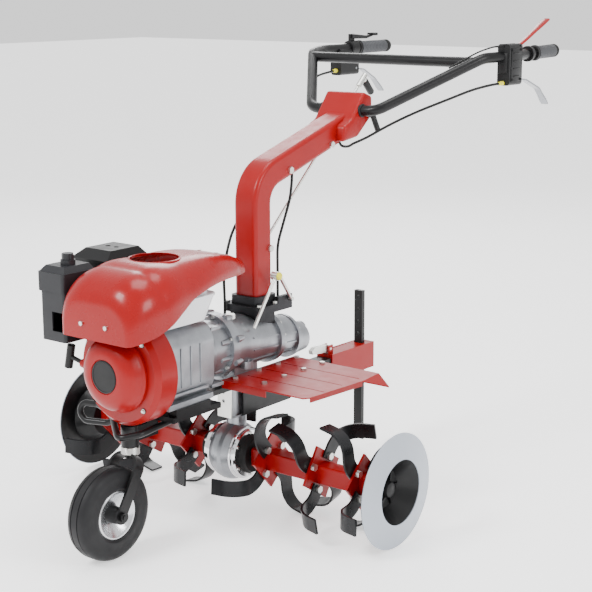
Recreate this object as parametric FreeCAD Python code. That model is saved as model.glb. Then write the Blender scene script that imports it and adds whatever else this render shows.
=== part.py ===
import FreeCAD, Part
import math
import os

from FreeCAD import Vector

# Walk-behind motor tiller. Millimetres, +Z up, the machine drives towards -Y and its left side is +X.
# The pieces are modelled with Y = 0 above the rotor axle and moved at the end, so that the origin is
# the centre of the bottom of the overall box.

# ---- driving dimensions ---------------------------------------------------------------------------
AXLE_Z = 130.0              # rotor axle above the ground
AXLE_R = 15.0
TINE_WIDTH = 36.0
TINE_THICK = 5.0
TINE_SPAN = 131.0           # reach of the bent blade, measured across its bend
TINE_SWEEP = 45.0           # degrees that a blade trails behind its root
STATION_X = (110.0, 250.0, 365.0)
STATION_PHASE = (132.0, 58.0, 43.0)
TUBE_SIDE = 42.0            # square tube of the tine carriers
DISC_R = 126.4              # plant guard disc
DISC_X = 449.0
BOWL_R = 71.0
BOWL_X = 460.0

WHEEL_R = 100.0
WHEEL_WIDTH = 58.0
WHEEL_Y = -406.0
RIM_R = 52.0
FORK_CLEAR = 5.0

CRANK_Z = 395.0
FAN_R = 115.0
FAN_FRONT = -365.0
FAN_REAR = -308.0
CASE_HALF_X = 82.0
CASE_CORNER = 45.0
CASE_REAR = -170.0
WALL = 5.0
SKIN = 3.0                  # sheet and moulded covers

COLUMN_X = 64.0
COLUMN_Y = 60.0
COLUMN_YC = 73.5
COLUMN_FOOT = 466.0
COLUMN_KNEE = 748.0
COLUMN_WALL = 3.0
ARM_TILT = 17.0             # degrees that the upper arm rises towards the rear
ARM_LENGTH = 344.0
BAR_Y = 417.0               # handlebar cross tube inside the head
BAR_Z = 882.0
BAR_R = 13.0
BAR_REACH_X = 285.0
GRIP_X = 263.0
GRIP_END = 985.0
GRIP_Z = 1008.0
GRIP_R = 17.0

FENDER_Z = 320.0
FENDER_Y = (-80.0, 180.0)
FENDER_X = (34.0, 276.0)
STAKE_Y = 493.0
STAKE_TOP = 421.0
STAKE_FOOT = 24.0

RUN_FIT = 0.05              # radial clearance of a shaft in its bearing
GAP = 0.3                   # clearance between neighbours that move past each other

NODES = {}


# ---- small helpers --------------------------------------------------------------------------------
def box(x0, x1, y0, y1, z0, z1):
    return Part.makeBox(x1 - x0, y1 - y0, z1 - z0, Vector(x0, y0, z0))


def rod(start, end, radius):
    start, end = Vector(*start), Vector(*end)
    return Part.makeCylinder(radius, (end - start).Length, start, end - start)


def tube(start, end, outer, inner):
    return rod(start, end, outer).cut(rod(start, end, inner))


def fused(shapes):
    return shapes[0].multiFuse(shapes[1:]).removeSplitter() if len(shapes) > 1 else shapes[0]


def group(shapes):
    return Part.makeCompound([solid for shape in shapes for solid in shape.Solids])


def mirrored(shape):
    return shape.mirror(Vector(0, 0, 0), Vector(1, 0, 0))


def both_sides(shape):
    return group([shape, mirrored(shape)])


def outline(points):
    """Closed face through 3-D points."""
    loop = [Vector(*p) for p in points]
    return Part.Face(Part.makePolygon(loop + [loop[0]]))


def side_plate(points_yz, x0, x1):
    return outline([(x0, y, z) for y, z in points_yz]).extrude(Vector(x1 - x0, 0, 0))


def corner_arc(before, corner, after, radius):
    """Tangent points and arc that round one corner of a path."""
    back = (before - corner).normalize()
    ahead = (after - corner).normalize()
    half = back.getAngle(ahead) / 2
    leg = radius / math.tan(half)
    middle = corner + (back + ahead).normalize() * (radius / math.sin(half) - radius)
    first, last = corner + back * leg, corner + ahead * leg
    return first, last, Part.Arc(first, middle, last).toShape()


def rounded_path(points, radii):
    """Wire of straight runs joined by tangent arcs."""
    points = [Vector(*p) for p in points]
    edges = []
    here = points[0]
    for before, corner, after, radius in zip(points, points[1:], points[2:], radii):
        first, last, arc = corner_arc(before, corner, after, radius)
        if (first - here).Length > 0.01:
            edges.append(Part.makeLine(here, first))
        edges.append(arc)
        here = last
    edges.append(Part.makeLine(here, points[-1]))
    return Part.Wire(edges)


def pipe(points, radii, radius):
    path = rounded_path(points, radii)
    start, ahead = Vector(*points[0]), Vector(*points[1]) - Vector(*points[0])
    ring = Part.Wire([Part.makeCircle(radius, start, ahead)])
    return path.makePipeShell([ring], True, True)


def cord_radii(points, least):
    """Arc radius at each inner point: as large as its two runs allow."""
    points = [Vector(*p) for p in points]
    radii = []
    for before, corner, after in zip(points, points[1:], points[2:]):
        into, out = corner - before, after - corner
        turn = into.getAngle(out)
        radii.append(0.45 * min(into.Length, out.Length) / math.tan(turn / 2))
    print("cord arc radii:", [round(r) for r in radii], "least allowed", least)
    return radii


def cord(points, radius):
    return pipe(points, cord_radii(points, 10 * radius), radius)


def rounded_box(x0, x1, y0, y1, z0, z1, radius, edges="Z"):
    """Box whose edges along one axis are rounded."""
    shape = box(x0, x1, y0, y1, z0, z1)
    axis = {"X": Vector(1, 0, 0), "Y": Vector(0, 1, 0), "Z": Vector(0, 0, 1)}[edges]
    picked = []
    for edge in shape.Edges:
        along = (edge.Vertexes[1].Point - edge.Vertexes[0].Point).normalize()
        if abs(along.dot(axis)) > 0.99:
            picked.append(edge)
    return shape.makeFillet(radius, picked)


def bolts(places, head_r, head_h, shank_r, shank_l):
    """Hexagon bolts: each place is a seat point and the outward direction."""
    made = []
    for seat, out in places:
        seat, out = Vector(*seat), Vector(*out).normalize()
        side = out.cross(Vector(0.3, 0.5, 0.8)).normalize()
        corners = [seat + FreeCAD.Rotation(out, 60 * k).multVec(side) * head_r for k in range(7)]
        head = Part.Face(Part.makePolygon(corners)).extrude(out * head_h)
        shank = Part.makeCylinder(shank_r, shank_l, seat - out * shank_l, out)
        made.append(head.fuse(shank))
    return made


def drilled(shape, places, head_r, shank_r, shank_l):
    """The holes that the bolts of the same places go into, with room for their heads."""
    for seat, out in places:
        seat, out = Vector(*seat), Vector(*out).normalize()
        hole = Part.makeCylinder(shank_r, shank_l + 1, seat - out * shank_l, out)
        shape = shape.cut(hole.fuse(Part.makeCylinder(head_r, 12, seat, out)))
    return shape


def lathe_y(profile, z_axis):
    """Solid turned about a line along Y; the profile is (y, radius)."""
    face = outline([(0, y, z_axis + r) for y, r in profile])
    return face.revolve(Vector(0, 0, z_axis), Vector(0, 1, 0), 360)


def lathe_x(profile, z_axis, y_axis=0.0):
    """Solid turned about a line along X; the profile is (x, radius)."""
    face = outline([(x, y_axis, z_axis + r) for x, r in profile])
    return face.revolve(Vector(0, y_axis, z_axis), Vector(1, 0, 0), 360)


def circle_loft(sections):
    """Loft through circles square to Y; each section is (y, centre z, radius)."""
    rings = [Part.Wire([Part.makeCircle(r, Vector(0, y, z), Vector(0, 1, 0))]) for y, z, r in sections]
    return Part.makeLoft(rings, True, True)


# ---- rotor ----------------------------------------------------------------------------------------
TUBE_START = 68.0
TUBE_END = 417.0
FLANGE_HALF = 46.0
FLANGE_THICK = 6.0
BOLT_RADIUS = 38.5          # tine bolts from the axle
TINE_BOLT_R = 4.5
BLADE_ROOT = 30.5
BLADE_STRAIGHT = 48.0
BLADE_TURN_R = 60.0
BLADE_BEND_R = 52.0
BLADE_BEND = 78.0
BLADE_TAIL = 26.0
PLATE_THICK = 2.0
DISH_THICK = 2.5
BOWL_DEPTH = 40.0
BOWL_FLOOR_R = 44.0
AXLE_END = 430.0


def on_axle(shape, degrees, x):
    """Turns a piece drawn with its root along +Y about the axle and sets it at its place."""
    shape.rotate(Vector(0, 0, 0), Vector(1, 0, 0), degrees)
    shape.translate(Vector(x, 0, AXLE_Z))
    return shape


def blade_outline():
    """Flat outline of a blade in the rotor's plane, root along +Y, trailing towards -Z."""
    half = TINE_WIDTH / 2
    sweep = math.radians(TINE_SWEEP)
    centre = Vector(0, BLADE_STRAIGHT, -BLADE_TURN_R)

    def turned(radius, angle):
        return centre + Vector(0, math.sin(angle) * radius, math.cos(angle) * radius)

    outer, inner = BLADE_TURN_R + half, BLADE_TURN_R - half
    ahead = Vector(0, math.cos(sweep), -math.sin(sweep)) * TINE_SPAN
    corner_a, corner_b = Vector(0, BLADE_ROOT, -half), Vector(0, BLADE_ROOT, half)
    edges = [
        Part.makeLine(corner_a, corner_b),
        Part.makeLine(corner_b, turned(outer, 0)),
        Part.Arc(turned(outer, 0), turned(outer, sweep / 2), turned(outer, sweep)).toShape(),
        Part.makeLine(turned(outer, sweep), turned(outer, sweep) + ahead),
        Part.makeLine(turned(outer, sweep) + ahead, turned(inner, sweep) + ahead),
        Part.makeLine(turned(inner, sweep) + ahead, turned(inner, sweep)),
        Part.Arc(turned(inner, sweep), turned(inner, sweep / 2), turned(inner, 0)).toShape(),
        Part.makeLine(turned(inner, 0), corner_a),
    ]
    return Part.Face(Part.Wire(edges))


def bent_sheet():
    """Wide sheet with one large bend towards +X, turned so that the bend trails."""
    bend = math.radians(BLADE_BEND)
    reach = BLADE_BEND_R * math.sin(bend) + BLADE_TAIL * math.cos(bend)
    start = TINE_SPAN - reach - TINE_THICK

    def sheet_line(offset):
        radius = BLADE_BEND_R - offset
        first = Vector(offset, start, 0)
        middle = Vector(BLADE_BEND_R - radius * math.cos(bend / 2), start + radius * math.sin(bend / 2), 0)
        last = Vector(BLADE_BEND_R - radius * math.cos(bend), start + radius * math.sin(bend), 0)
        tip = last + Vector(math.sin(bend), math.cos(bend), 0) * BLADE_TAIL
        return first, middle, last, tip

    under = sheet_line(0.0)
    over = sheet_line(TINE_THICK)
    foot_under, foot_over = Vector(0, -20, 0), Vector(TINE_THICK, -20, 0)
    edges = [
        Part.makeLine(foot_under, under[0]),
        Part.Arc(under[0], under[1], under[2]).toShape(),
        Part.makeLine(under[2], under[3]),
        Part.makeLine(under[3], over[3]),
        Part.makeLine(over[3], over[2]),
        Part.Arc(over[2], over[1], over[0]).toShape(),
        Part.makeLine(over[0], foot_over),
        Part.makeLine(foot_over, foot_under),
    ]
    sheet = Part.Face(Part.Wire(edges)).extrude(Vector(0, 0, 300))
    sheet.translate(Vector(0, 0, -150))
    sheet.rotate(Vector(0, 0, 0), Vector(1, 0, 0), -TINE_SWEEP)
    return sheet


def blade_towards_plus():
    prism = blade_outline().extrude(Vector(140, 0, 0))
    blade = prism.common(bent_sheet())
    hole = rod((-1, BOLT_RADIUS, 0), (TINE_THICK + 1, BOLT_RADIUS, 0), TINE_BOLT_R)
    return blade.cut(hole)


def station_blades(station):
    """Four blades of one flange, bending outwards and inwards by turns."""
    x = STATION_X[station]
    outward = blade_towards_plus()
    inward = mirrored(outward)
    made = []
    for k in range(4):
        angle = STATION_PHASE[station] + 90 * k
        if k % 2 == 0:
            made.append(on_axle(outward.copy(), angle, x + FLANGE_THICK / 2))
        else:
            made.append(on_axle(inward.copy(), angle, x - FLANGE_THICK / 2))
    return group(made)


def tine_tube():
    half = TUBE_SIDE / 2
    carrier = rounded_box(TUBE_START, TUBE_END, -half, half, AXLE_Z - half, AXLE_Z + half, 4, "X")
    plates = []
    for x, phase in zip(STATION_X, STATION_PHASE):
        plate = box(-FLANGE_THICK / 2, FLANGE_THICK / 2, -FLANGE_HALF, FLANGE_HALF, -FLANGE_HALF, FLANGE_HALF)
        for k in range(4):
            spot = FreeCAD.Rotation(Vector(1, 0, 0), 90 * k).multVec(Vector(0, BOLT_RADIUS, 0))
            plate = plate.cut(rod((-9, spot.y, spot.z), (9, spot.y, spot.z), TINE_BOLT_R))
        plates.append(on_axle(plate, phase, x))
    carrier = fused([carrier] + plates)
    return carrier.cut(rod((TUBE_START - 1, 0, AXLE_Z), (TUBE_END + 1, 0, AXLE_Z), AXLE_R))


def tine_bolts():
    made = []
    for x, phase in zip(STATION_X, STATION_PHASE):
        for k in range(4):
            turn = FreeCAD.Rotation(Vector(1, 0, 0), phase + 90 * k)
            spot = turn.multVec(Vector(0, BOLT_RADIUS, 0)) + Vector(0, 0, AXLE_Z)
            out = 1 if k % 2 == 0 else -1
            head_x = x + out * (FLANGE_THICK / 2 + TINE_THICK)
            nut_x = x - out * FLANGE_THICK / 2
            shank = FLANGE_THICK + TINE_THICK
            made += bolts([((head_x, spot.y, spot.z), (out, 0, 0))], 8.5, 6.5, TINE_BOLT_R, shank)
            nut = bolts([((nut_x, spot.y, spot.z), (-out, 0, 0))], 8.5, 8.0, TINE_BOLT_R - 0.1, 0.01)[0]
            made.append(nut)
    return group(made + [mirrored(m) for m in made])


def guard_plate():
    """Light outer ring of the plant guard: a shallow cone."""
    face = [
        (DISC_X, DISC_R), (BOWL_X, BOWL_R),
        (BOWL_X + PLATE_THICK, BOWL_R), (DISC_X + PLATE_THICK, DISC_R),
    ]
    return lathe_x(face, AXLE_Z)


def guard_dish():
    """Dark backing dish: ring behind the plate and a deep bowl that sits on the axle."""
    floor = BOWL_X - BOWL_DEPTH
    profile = [
        (DISC_X, DISC_R - 2), (BOWL_X, BOWL_R), (floor, BOWL_FLOOR_R), (floor, AXLE_R),
        (floor - DISH_THICK, AXLE_R), (floor - DISH_THICK, BOWL_FLOOR_R + 2),
        (BOWL_X - DISH_THICK - 1, BOWL_R + 1), (DISC_X - DISH_THICK, DISC_R - 2),
    ]
    return lathe_x(profile, AXLE_Z)


def rotor():
    NODES["rotor_axle"] = rod((-AXLE_END, 0, AXLE_Z), (AXLE_END, 0, AXLE_Z), AXLE_R)
    NODES["tine_tubes"] = both_sides(tine_tube())
    for station, name in enumerate(("inner_tines", "middle_tines", "outer_tines")):
        NODES[name] = both_sides(station_blades(station))
    NODES["tine_bolts"] = tine_bolts()
    NODES["guard_plates"] = both_sides(guard_plate())
    NODES["guard_dishes"] = both_sides(guard_dish())


# ---- drive leg and gearboxes ----------------------------------------------------------------------
GEARCASE_R = 68.0
GEARCASE_HALF = 28.0
RING_R = 60.0
RING_END = 46.0
BOOT_R = 45.0
BOOT_END = 65.0
NECK_R = 23.0
LEG_Z = (214.0, 302.0)
LEG_X = 20.0
LEG_Y = (-30.0, 26.0)
LEG_PLATE = 4.0
NECK_BORE_R = 15.0
LEG_SHAFT_R = 9.0
AXLE_GEAR_R = 42.0
AXLE_GEAR_X = (8.5, 20.0)
PINION_R = 12.0

BELL_FRONT = -56.0
BELL_JOINT = 110.0
BELL_REAR = 185.0
BELL_FLANGE_R = 72.0
BELL_SECTIONS = ((-56.0, 395.0, 67.0), (10.0, 388.0, 62.0), (110.0, 377.0, 52.3), (185.0, 369.0, 45.0))
JOINT_Z = 377.0
JOINT_R = 60.0
JOINT_HALF = 7.0
COVER_SECTIONS = ((186.0, 360.0, 46.0), (240.0, 352.0, 35.0))
INPUT_R = 9.0
INPUT_GEARS = ((50.0, 26.0), (80.0, 22.0), (140.0, 20.0), (162.0, 14.0))
BASE_Z = 448.0
PLUG_R = 12.0
PLUG_Z = (372.0, 332.0)
LEG_SHAFT_Y = 8.0
LEG_GEAR_R = 22.0
LEG_GEAR_Z = 345.0
CABLE_FAR_X = 40.0          # where the right-hand column cable ends on the gearbox
CABLE_FAR_Y = 18.5
CABLE_FAR_Z = 440.0


def rotor_gearcase():
    half = GEARCASE_HALF
    shell = [
        (-half, RING_R - 4), (-14, GEARCASE_R - 2), (-4, GEARCASE_R), (4, GEARCASE_R),
        (14, GEARCASE_R - 2), (half, RING_R - 4), (half, AXLE_R + 11), (-half, AXLE_R + 11),
    ]
    body = lathe_x(shell, AXLE_Z)
    neck = rod((0, LEG_SHAFT_Y, AXLE_Z + 40), (0, LEG_SHAFT_Y, LEG_Z[0]), NECK_R)
    hollow = lathe_x(
        [(-half + 6, AXLE_R + 2), (-half + 6, 52), (half - 6, 52), (half - 6, AXLE_R + 2)], AXLE_Z)
    body = fused([body, neck]).cut(hollow)
    for side in (-1, 1):
        body = body.cut(rod((side * half, 0, AXLE_Z), (side * (half - 8), 0, AXLE_Z), AXLE_R + 11))
    return body.cut(rod((0, LEG_SHAFT_Y, AXLE_Z + 20), (0, LEG_SHAFT_Y, LEG_Z[0] + 1), NECK_BORE_R))


def gearcase_ring(side):
    """Bearing cover at one side of the rotor gearcase."""
    half = GEARCASE_HALF
    profile = [
        (half, AXLE_R + RUN_FIT), (half, RING_R - 2), (half + 3, RING_R), (half + 8, RING_R),
        (half + 9, RING_R - 3), (RING_END - 3, RING_R - 3), (RING_END, RING_R - 6),
        (RING_END, AXLE_R + RUN_FIT),
    ]
    ring = lathe_x(profile, AXLE_Z)
    return ring if side > 0 else mirrored(ring)


def axle_boot(side):
    profile = [
        (RING_END, AXLE_R + 3), (RING_END, BOOT_R), (RING_END + 6, BOOT_R), (RING_END + 12, BOOT_R - 4),
        (BOOT_END, BOOT_R - 6), (BOOT_END, AXLE_R + 3),
    ]
    boot = lathe_x(profile, AXLE_Z)
    return boot if side > 0 else mirrored(boot)


def drive_leg():
    leg = rounded_box(-LEG_X, LEG_X, LEG_Y[0], LEG_Y[1], LEG_Z[0], LEG_Z[1], 3, "Z")
    groove = box(LEG_X - 5, LEG_X + 1, -16, 14, LEG_Z[0] + 4, LEG_Z[1] + 1)
    leg = leg.cut(groove).cut(mirrored(groove))
    collar = box(-FENDER_X[0], FENDER_X[0], -36, 44, LEG_Z[1] - 8, LEG_GEAR_Z)
    leg = fused([leg, collar])
    bore = rod((0, LEG_SHAFT_Y, LEG_Z[0] - 1), (0, LEG_SHAFT_Y, LEG_GEAR_Z + 1), LEG_SHAFT_R + RUN_FIT)
    gear_room = rod((0, LEG_SHAFT_Y, LEG_GEAR_Z - 22), (0, LEG_SHAFT_Y, LEG_GEAR_Z), LEG_GEAR_R + 1)
    return leg.cut(bore).cut(gear_room).cut(gearbox_outer())


def leg_plate():
    y = LEG_Y[0]
    plate = box(-LEG_X, LEG_X, y - LEG_PLATE, y, LEG_Z[0] + 2, LEG_Z[1] - 12)
    for z in (254, 275):
        plate = plate.cut(rod((-2, y - 9, z), (-2, y + 1, z), 4.0))
    return plate


def gearbox_outer():
    """Outside of the bell housing and the gearbox as one solid, without their flanges."""
    return fused([circle_loft(pair) for pair in zip(BELL_SECTIONS, BELL_SECTIONS[1:])])


def inner_sections(sections):
    return [(y, z, r - WALL) for y, z, r in sections]


def joint_ring(y0, y1):
    return rod((0, y0, JOINT_Z), (0, y1, JOINT_Z), JOINT_R)


def bell_housing():
    """Clutch bell with the front half of the gearbox; the leg gear comes up through its floor."""
    front = BELL_SECTIONS[:3]
    flange = rod((0, BELL_FRONT - 10, CRANK_Z), (0, BELL_FRONT, CRANK_Z), BELL_FLANGE_R)
    boss = rod((46, -8, 335), (46, -8, 352), 15)
    rib = rod((50, -8, 345), (50, -8, 408), 4)
    gland = box(-CABLE_FAR_X - 6, -CABLE_FAR_X + 6, CABLE_FAR_Y - 6, CABLE_FAR_Y + 6, 424, CABLE_FAR_Z)
    joint = joint_ring(BELL_JOINT - JOINT_HALF, BELL_JOINT)
    shell = fused([circle_loft(front), flange, joint, boss, rib, gland])
    mouth = rod((0, BELL_FRONT - 12, CRANK_Z), (0, BELL_FRONT + 2, CRANK_Z), 58)
    floor_hole = rod((0, LEG_SHAFT_Y, LEG_Z[1]), (0, LEG_SHAFT_Y, LEG_GEAR_Z + 2), LEG_GEAR_R + 3)
    return shell.cut(circle_loft(inner_sections(front))).cut(mouth).cut(floor_hole)


def gearbox_case():
    """Rear half of the gearbox with its end cover and the two plug bosses."""
    rear = BELL_SECTIONS[2:]
    end_flange = rod((0, BELL_REAR - 7, 365), (0, BELL_REAR + 1, 365), 52)
    cover_end = COVER_SECTIONS[1][0]
    seats = [rod((0, cover_end - 15, z), (0, cover_end + 8, z), PLUG_R + 4) for z in PLUG_Z]
    outside = circle_loft(rear)
    shell = fused([outside, joint_ring(BELL_JOINT, BELL_JOINT + JOINT_HALF), end_flange,
                   circle_loft(COVER_SECTIONS)] + seats)
    hollow = circle_loft(inner_sections(rear)).cut(box(-80, 80, BELL_REAR - 7, BELL_REAR + 1, 280, 480))
    bearing_web = outside.common(box(-80, 80, BELL_JOINT + 6, BELL_JOINT + 12, 280, 480))
    shell = shell.cut(hollow).fuse(bearing_web)
    (y0, z0, r0), (y1, z1, r1) = COVER_SECTIONS
    shell = shell.cut(circle_loft([(y0 + 1, z0, r0 - WALL), (y1 - WALL, z1, r1 - WALL)]))
    shell = shell.cut(rod((0, BELL_JOINT, CRANK_Z), (0, BELL_REAR - 3, CRANK_Z), INPUT_R + RUN_FIT))
    for z in PLUG_Z:
        shell = shell.cut(rod((0, y1 - 2, z), (0, y1 + 9, z), PLUG_R - 4))
    return shell


def flat_loop(x0, x1, y0, y1, z):
    corners = [Vector(x0, y0, z), Vector(x1, y0, z), Vector(x1, y1, z), Vector(x0, y1, z)]
    return Part.makePolygon(corners + corners[:1])


def gear(radius, bore, thickness, teeth, depth):
    """Spur gear blank with square teeth, flat on Z = 0."""
    disc = Part.makeCylinder(radius, thickness)
    half_slot = math.pi * radius / teeth / 2
    slot = box(radius - depth, radius + 1, -half_slot, half_slot, -1, thickness + 1)
    cutters = []
    for k in range(teeth):
        piece = slot.copy()
        piece.rotate(Vector(0, 0, 0), Vector(0, 0, 1), 360.0 * k / teeth)
        cutters.append(piece)
    disc = disc.cut(Part.makeCompound(cutters))
    return disc.cut(Part.makeCylinder(bore, thickness + 2, Vector(0, 0, -1))) if bore else disc


def axle_gear():
    """Toothed wheel on the rotor axle, inside the gearcase."""
    wheel = gear(AXLE_GEAR_R, AXLE_R, AXLE_GEAR_X[1] - AXLE_GEAR_X[0], 30, 5)
    wheel.rotate(Vector(0, 0, 0), Vector(0, 1, 0), 90)
    wheel.translate(Vector(AXLE_GEAR_X[0], 0, AXLE_Z))
    return wheel


def leg_shaft():
    """Upright shaft in the leg with a pinion at each end."""
    low, high = AXLE_Z + AXLE_GEAR_R + 2, LEG_GEAR_Z
    shaft = rod((0, LEG_SHAFT_Y, low), (0, LEG_SHAFT_Y, high), LEG_SHAFT_R)
    pinion = Part.makeCone(LEG_SHAFT_R - 1, PINION_R, 8, Vector(0, LEG_SHAFT_Y, low), Vector(0, 0, 1))
    top = Part.makeCone(LEG_GEAR_R - 6, LEG_GEAR_R, 10, Vector(0, LEG_SHAFT_Y, high - 10), Vector(0, 0, 1))
    return fused([shaft, pinion, top])


def input_shaft():
    """Shaft from the clutch through the gearbox, in line with the crankshaft, with its drum and gears."""
    shaft = rod((0, BELL_FRONT - 20, CRANK_Z), (0, BELL_REAR - 4, CRANK_Z), INPUT_R)
    drum = rod((0, -40, CRANK_Z), (0, -16, CRANK_Z), 36)
    pieces = [shaft, drum]
    for y, radius in INPUT_GEARS:
        wheel = gear(radius, 0, 12, 20, 3)
        wheel.rotate(Vector(0, 0, 0), Vector(1, 0, 0), -90)
        wheel.translate(Vector(0, y, CRANK_Z))
        pieces.append(wheel)
    return fused(pieces)


def rubber_seals():
    """Boots on the rotor axle and the two plugs in the gearbox end cover."""
    y = COVER_SECTIONS[1][0]
    plugs = [rod((0, y - 2, z), (0, y + 10, z), PLUG_R - 4) for z in PLUG_Z]
    caps = [rod((0, y + 8, z), (0, y + 13, z), PLUG_R) for z in PLUG_Z]
    return group([axle_boot(-1), axle_boot(1)] + [p.fuse(c) for p, c in zip(plugs, caps)])


def drive():
    NODES["rotor_gearcase"] = rotor_gearcase()
    NODES["gearcase_rings"] = group([gearcase_ring(-1), gearcase_ring(1)])
    NODES["rubber_seals"] = rubber_seals()
    NODES["axle_gear"] = axle_gear()
    NODES["drive_leg"] = drive_leg()
    NODES["leg_plate"] = leg_plate()
    NODES["leg_shaft"] = leg_shaft()
    NODES["bell_housing"] = bell_housing()
    NODES["gearbox_case"] = gearbox_case()
    NODES["input_shaft"] = input_shaft()


# ---- engine ---------------------------------------------------------------------------------------
CASE_TOP = 478.0
CASE_BOTTOM = 312.0
BARREL_TILT = 25.0          # degrees of the cylinder above level, leaning to the right side
BARREL_Y = -240.0
BARREL_R = 44.0
FIN_R = 53.0
PISTON_R = 34.0
BARREL_END = 165.0
PISTON_MID = 100.0
CRANK_R = 12.0


def along_barrel(distance, y=BARREL_Y):
    tilt = math.radians(BARREL_TILT)
    return Vector(-distance * math.cos(tilt), y, CRANK_Z + distance * math.sin(tilt))


def crankcase():
    body = rounded_box(
        -CASE_HALF_X, CASE_HALF_X, FAN_REAR, CASE_REAR, CASE_BOTTOM, CASE_TOP, CASE_CORNER, "Y")
    foot = box(-CASE_HALF_X - 6, CASE_HALF_X + 6, FAN_REAR, CASE_REAR, CASE_BOTTOM, CASE_BOTTOM + 12)
    barrel = [rod(along_barrel(50), along_barrel(BARREL_END), BARREL_R)]
    for k in range(6):
        at = 104 + 10 * k
        barrel.append(rod(along_barrel(at), along_barrel(at + 4), FIN_R))
    head = rod(along_barrel(BARREL_END), along_barrel(BARREL_END + 16), BARREL_R + 8)
    body = fused([body, foot, head] + barrel)
    cavity = rounded_box(-CASE_HALF_X + 7, CASE_HALF_X - 7, FAN_REAR + 8, CASE_REAR + 1,
                         CASE_BOTTOM + 9, CASE_TOP - 7, CASE_CORNER - 7, "Y")
    body = body.cut(cavity).cut(rod(along_barrel(50), along_barrel(BARREL_END - 8), PISTON_R + RUN_FIT))
    return body.cut(rod((0, FAN_REAR - 1, CRANK_Z), (0, FAN_REAR + 9, CRANK_Z), CRANK_R + RUN_FIT))


def crankcase_cover():
    """Rear cover with the clutch adapter that carries the gearbox."""
    plate = rounded_box(-CASE_HALF_X + 3, CASE_HALF_X - 3, CASE_REAR, CASE_REAR + 14,
                        CASE_BOTTOM + 3, CASE_TOP - 3, CASE_CORNER - 3, "Y")
    cone = lathe_y([(CASE_REAR + 14, 0), (CASE_REAR + 14, 74), (CASE_REAR + 40, 66), (BELL_FRONT - 24, 62),
                    (BELL_FRONT - 24, BELL_FLANGE_R), (BELL_FRONT - 10, BELL_FLANGE_R),
                    (BELL_FRONT - 10, 0)], CRANK_Z)
    inside = lathe_y([(CASE_REAR + 8, 0), (CASE_REAR + 8, 60), (CASE_REAR + 40, 56), (BELL_FRONT - 9, 54),
                      (BELL_FRONT - 9, 0)], CRANK_Z)
    cover = fused([plate, cone]).cut(inside)
    return cover.cut(rod((0, CASE_REAR - 1, CRANK_Z), (0, CASE_REAR + 20, CRANK_Z), CRANK_R + RUN_FIT))


def crankshaft():
    front = rod((0, FAN_FRONT + 12, CRANK_Z), (0, BARREL_Y - 22, CRANK_Z), CRANK_R)
    rear = rod((0, BARREL_Y + 22, CRANK_Z), (0, BELL_FRONT - 40, CRANK_Z), CRANK_R)
    webs = []
    for y in (BARREL_Y - 22, BARREL_Y + 12):
        web = rod((0, y, CRANK_Z + 10), (0, y + 10, CRANK_Z + 10), 22)
        weight = rod((0, y, CRANK_Z - 14), (0, y + 10, CRANK_Z - 14), 30)
        webs.append(web.fuse(weight))
    pin = rod((0, BARREL_Y - 14, CRANK_Z + 18), (0, BARREL_Y + 14, CRANK_Z + 18), CRANK_R)
    hub = rod((0, BELL_FRONT - 40, CRANK_Z), (0, BELL_FRONT - 24, CRANK_Z), 40)
    return fused([front, rear, pin, hub] + webs)


def flywheel():
    rim = lathe_y([(-352, CRANK_R), (-352, 62), (-346, 92), (-322, 92), (-322, CRANK_R)], CRANK_Z)
    vanes = []
    for k in range(12):
        vane = box(-1.5, 1.5, -360, -345, CRANK_Z + 64, CRANK_Z + 86)
        vane.rotate(Vector(0, 0, CRANK_Z), Vector(0, 1, 0), 30 * k)
        vanes.append(vane)
    return fused([rim] + vanes)


def piston():
    crown = rod(along_barrel(PISTON_MID - 24), along_barrel(PISTON_MID + 24), PISTON_R)
    hollow = rod(along_barrel(PISTON_MID - 25), along_barrel(PISTON_MID + 16), PISTON_R - 6)
    half_pin = PISTON_R - 4
    pin = rod(along_barrel(PISTON_MID, BARREL_Y - half_pin), along_barrel(PISTON_MID, BARREL_Y + half_pin), 8)
    return fused([crown.cut(hollow), pin])


def fan_cover():
    """Red drum around the flywheel, open towards the crankcase."""
    drum = lathe_y([(FAN_FRONT, 0), (FAN_FRONT, FAN_R - 10), (FAN_FRONT + 10, FAN_R), (FAN_REAR, FAN_R),
                    (FAN_REAR, 0)], CRANK_Z)
    inside = lathe_y([(FAN_FRONT + SKIN, 0), (FAN_FRONT + SKIN, FAN_R - 12), (FAN_FRONT + 12, FAN_R - SKIN),
                      (FAN_REAR + 1, FAN_R - SKIN), (FAN_REAR + 1, 0)], CRANK_Z)
    window = rod((0, FAN_FRONT - 1, CRANK_Z), (0, FAN_FRONT + 8, CRANK_Z), 66)
    rope_eye = rod(pull_line(1), pull_line(14), 10)
    return fused([drum.cut(inside).cut(window), rope_eye]).cut(rod(pull_line(-4), pull_line(20), 5 + RUN_FIT))


def recoil_cover():
    """Domed starter cover on the front of the drum, with a bare round badge seat."""
    front = FAN_FRONT - 43
    outer = lathe_y([(FAN_FRONT, 0), (FAN_FRONT, 84), (FAN_FRONT - 8, 84), (FAN_FRONT - 30, 66), (front, 52),
                     (front, 0)], CRANK_Z)
    inner = lathe_y([(FAN_FRONT + 1, 0), (FAN_FRONT + 1, 68), (FAN_FRONT - 28, 60), (front + SKIN, 46),
                     (front + SKIN, 0)], CRANK_Z)
    return outer.cut(inner)


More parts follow.
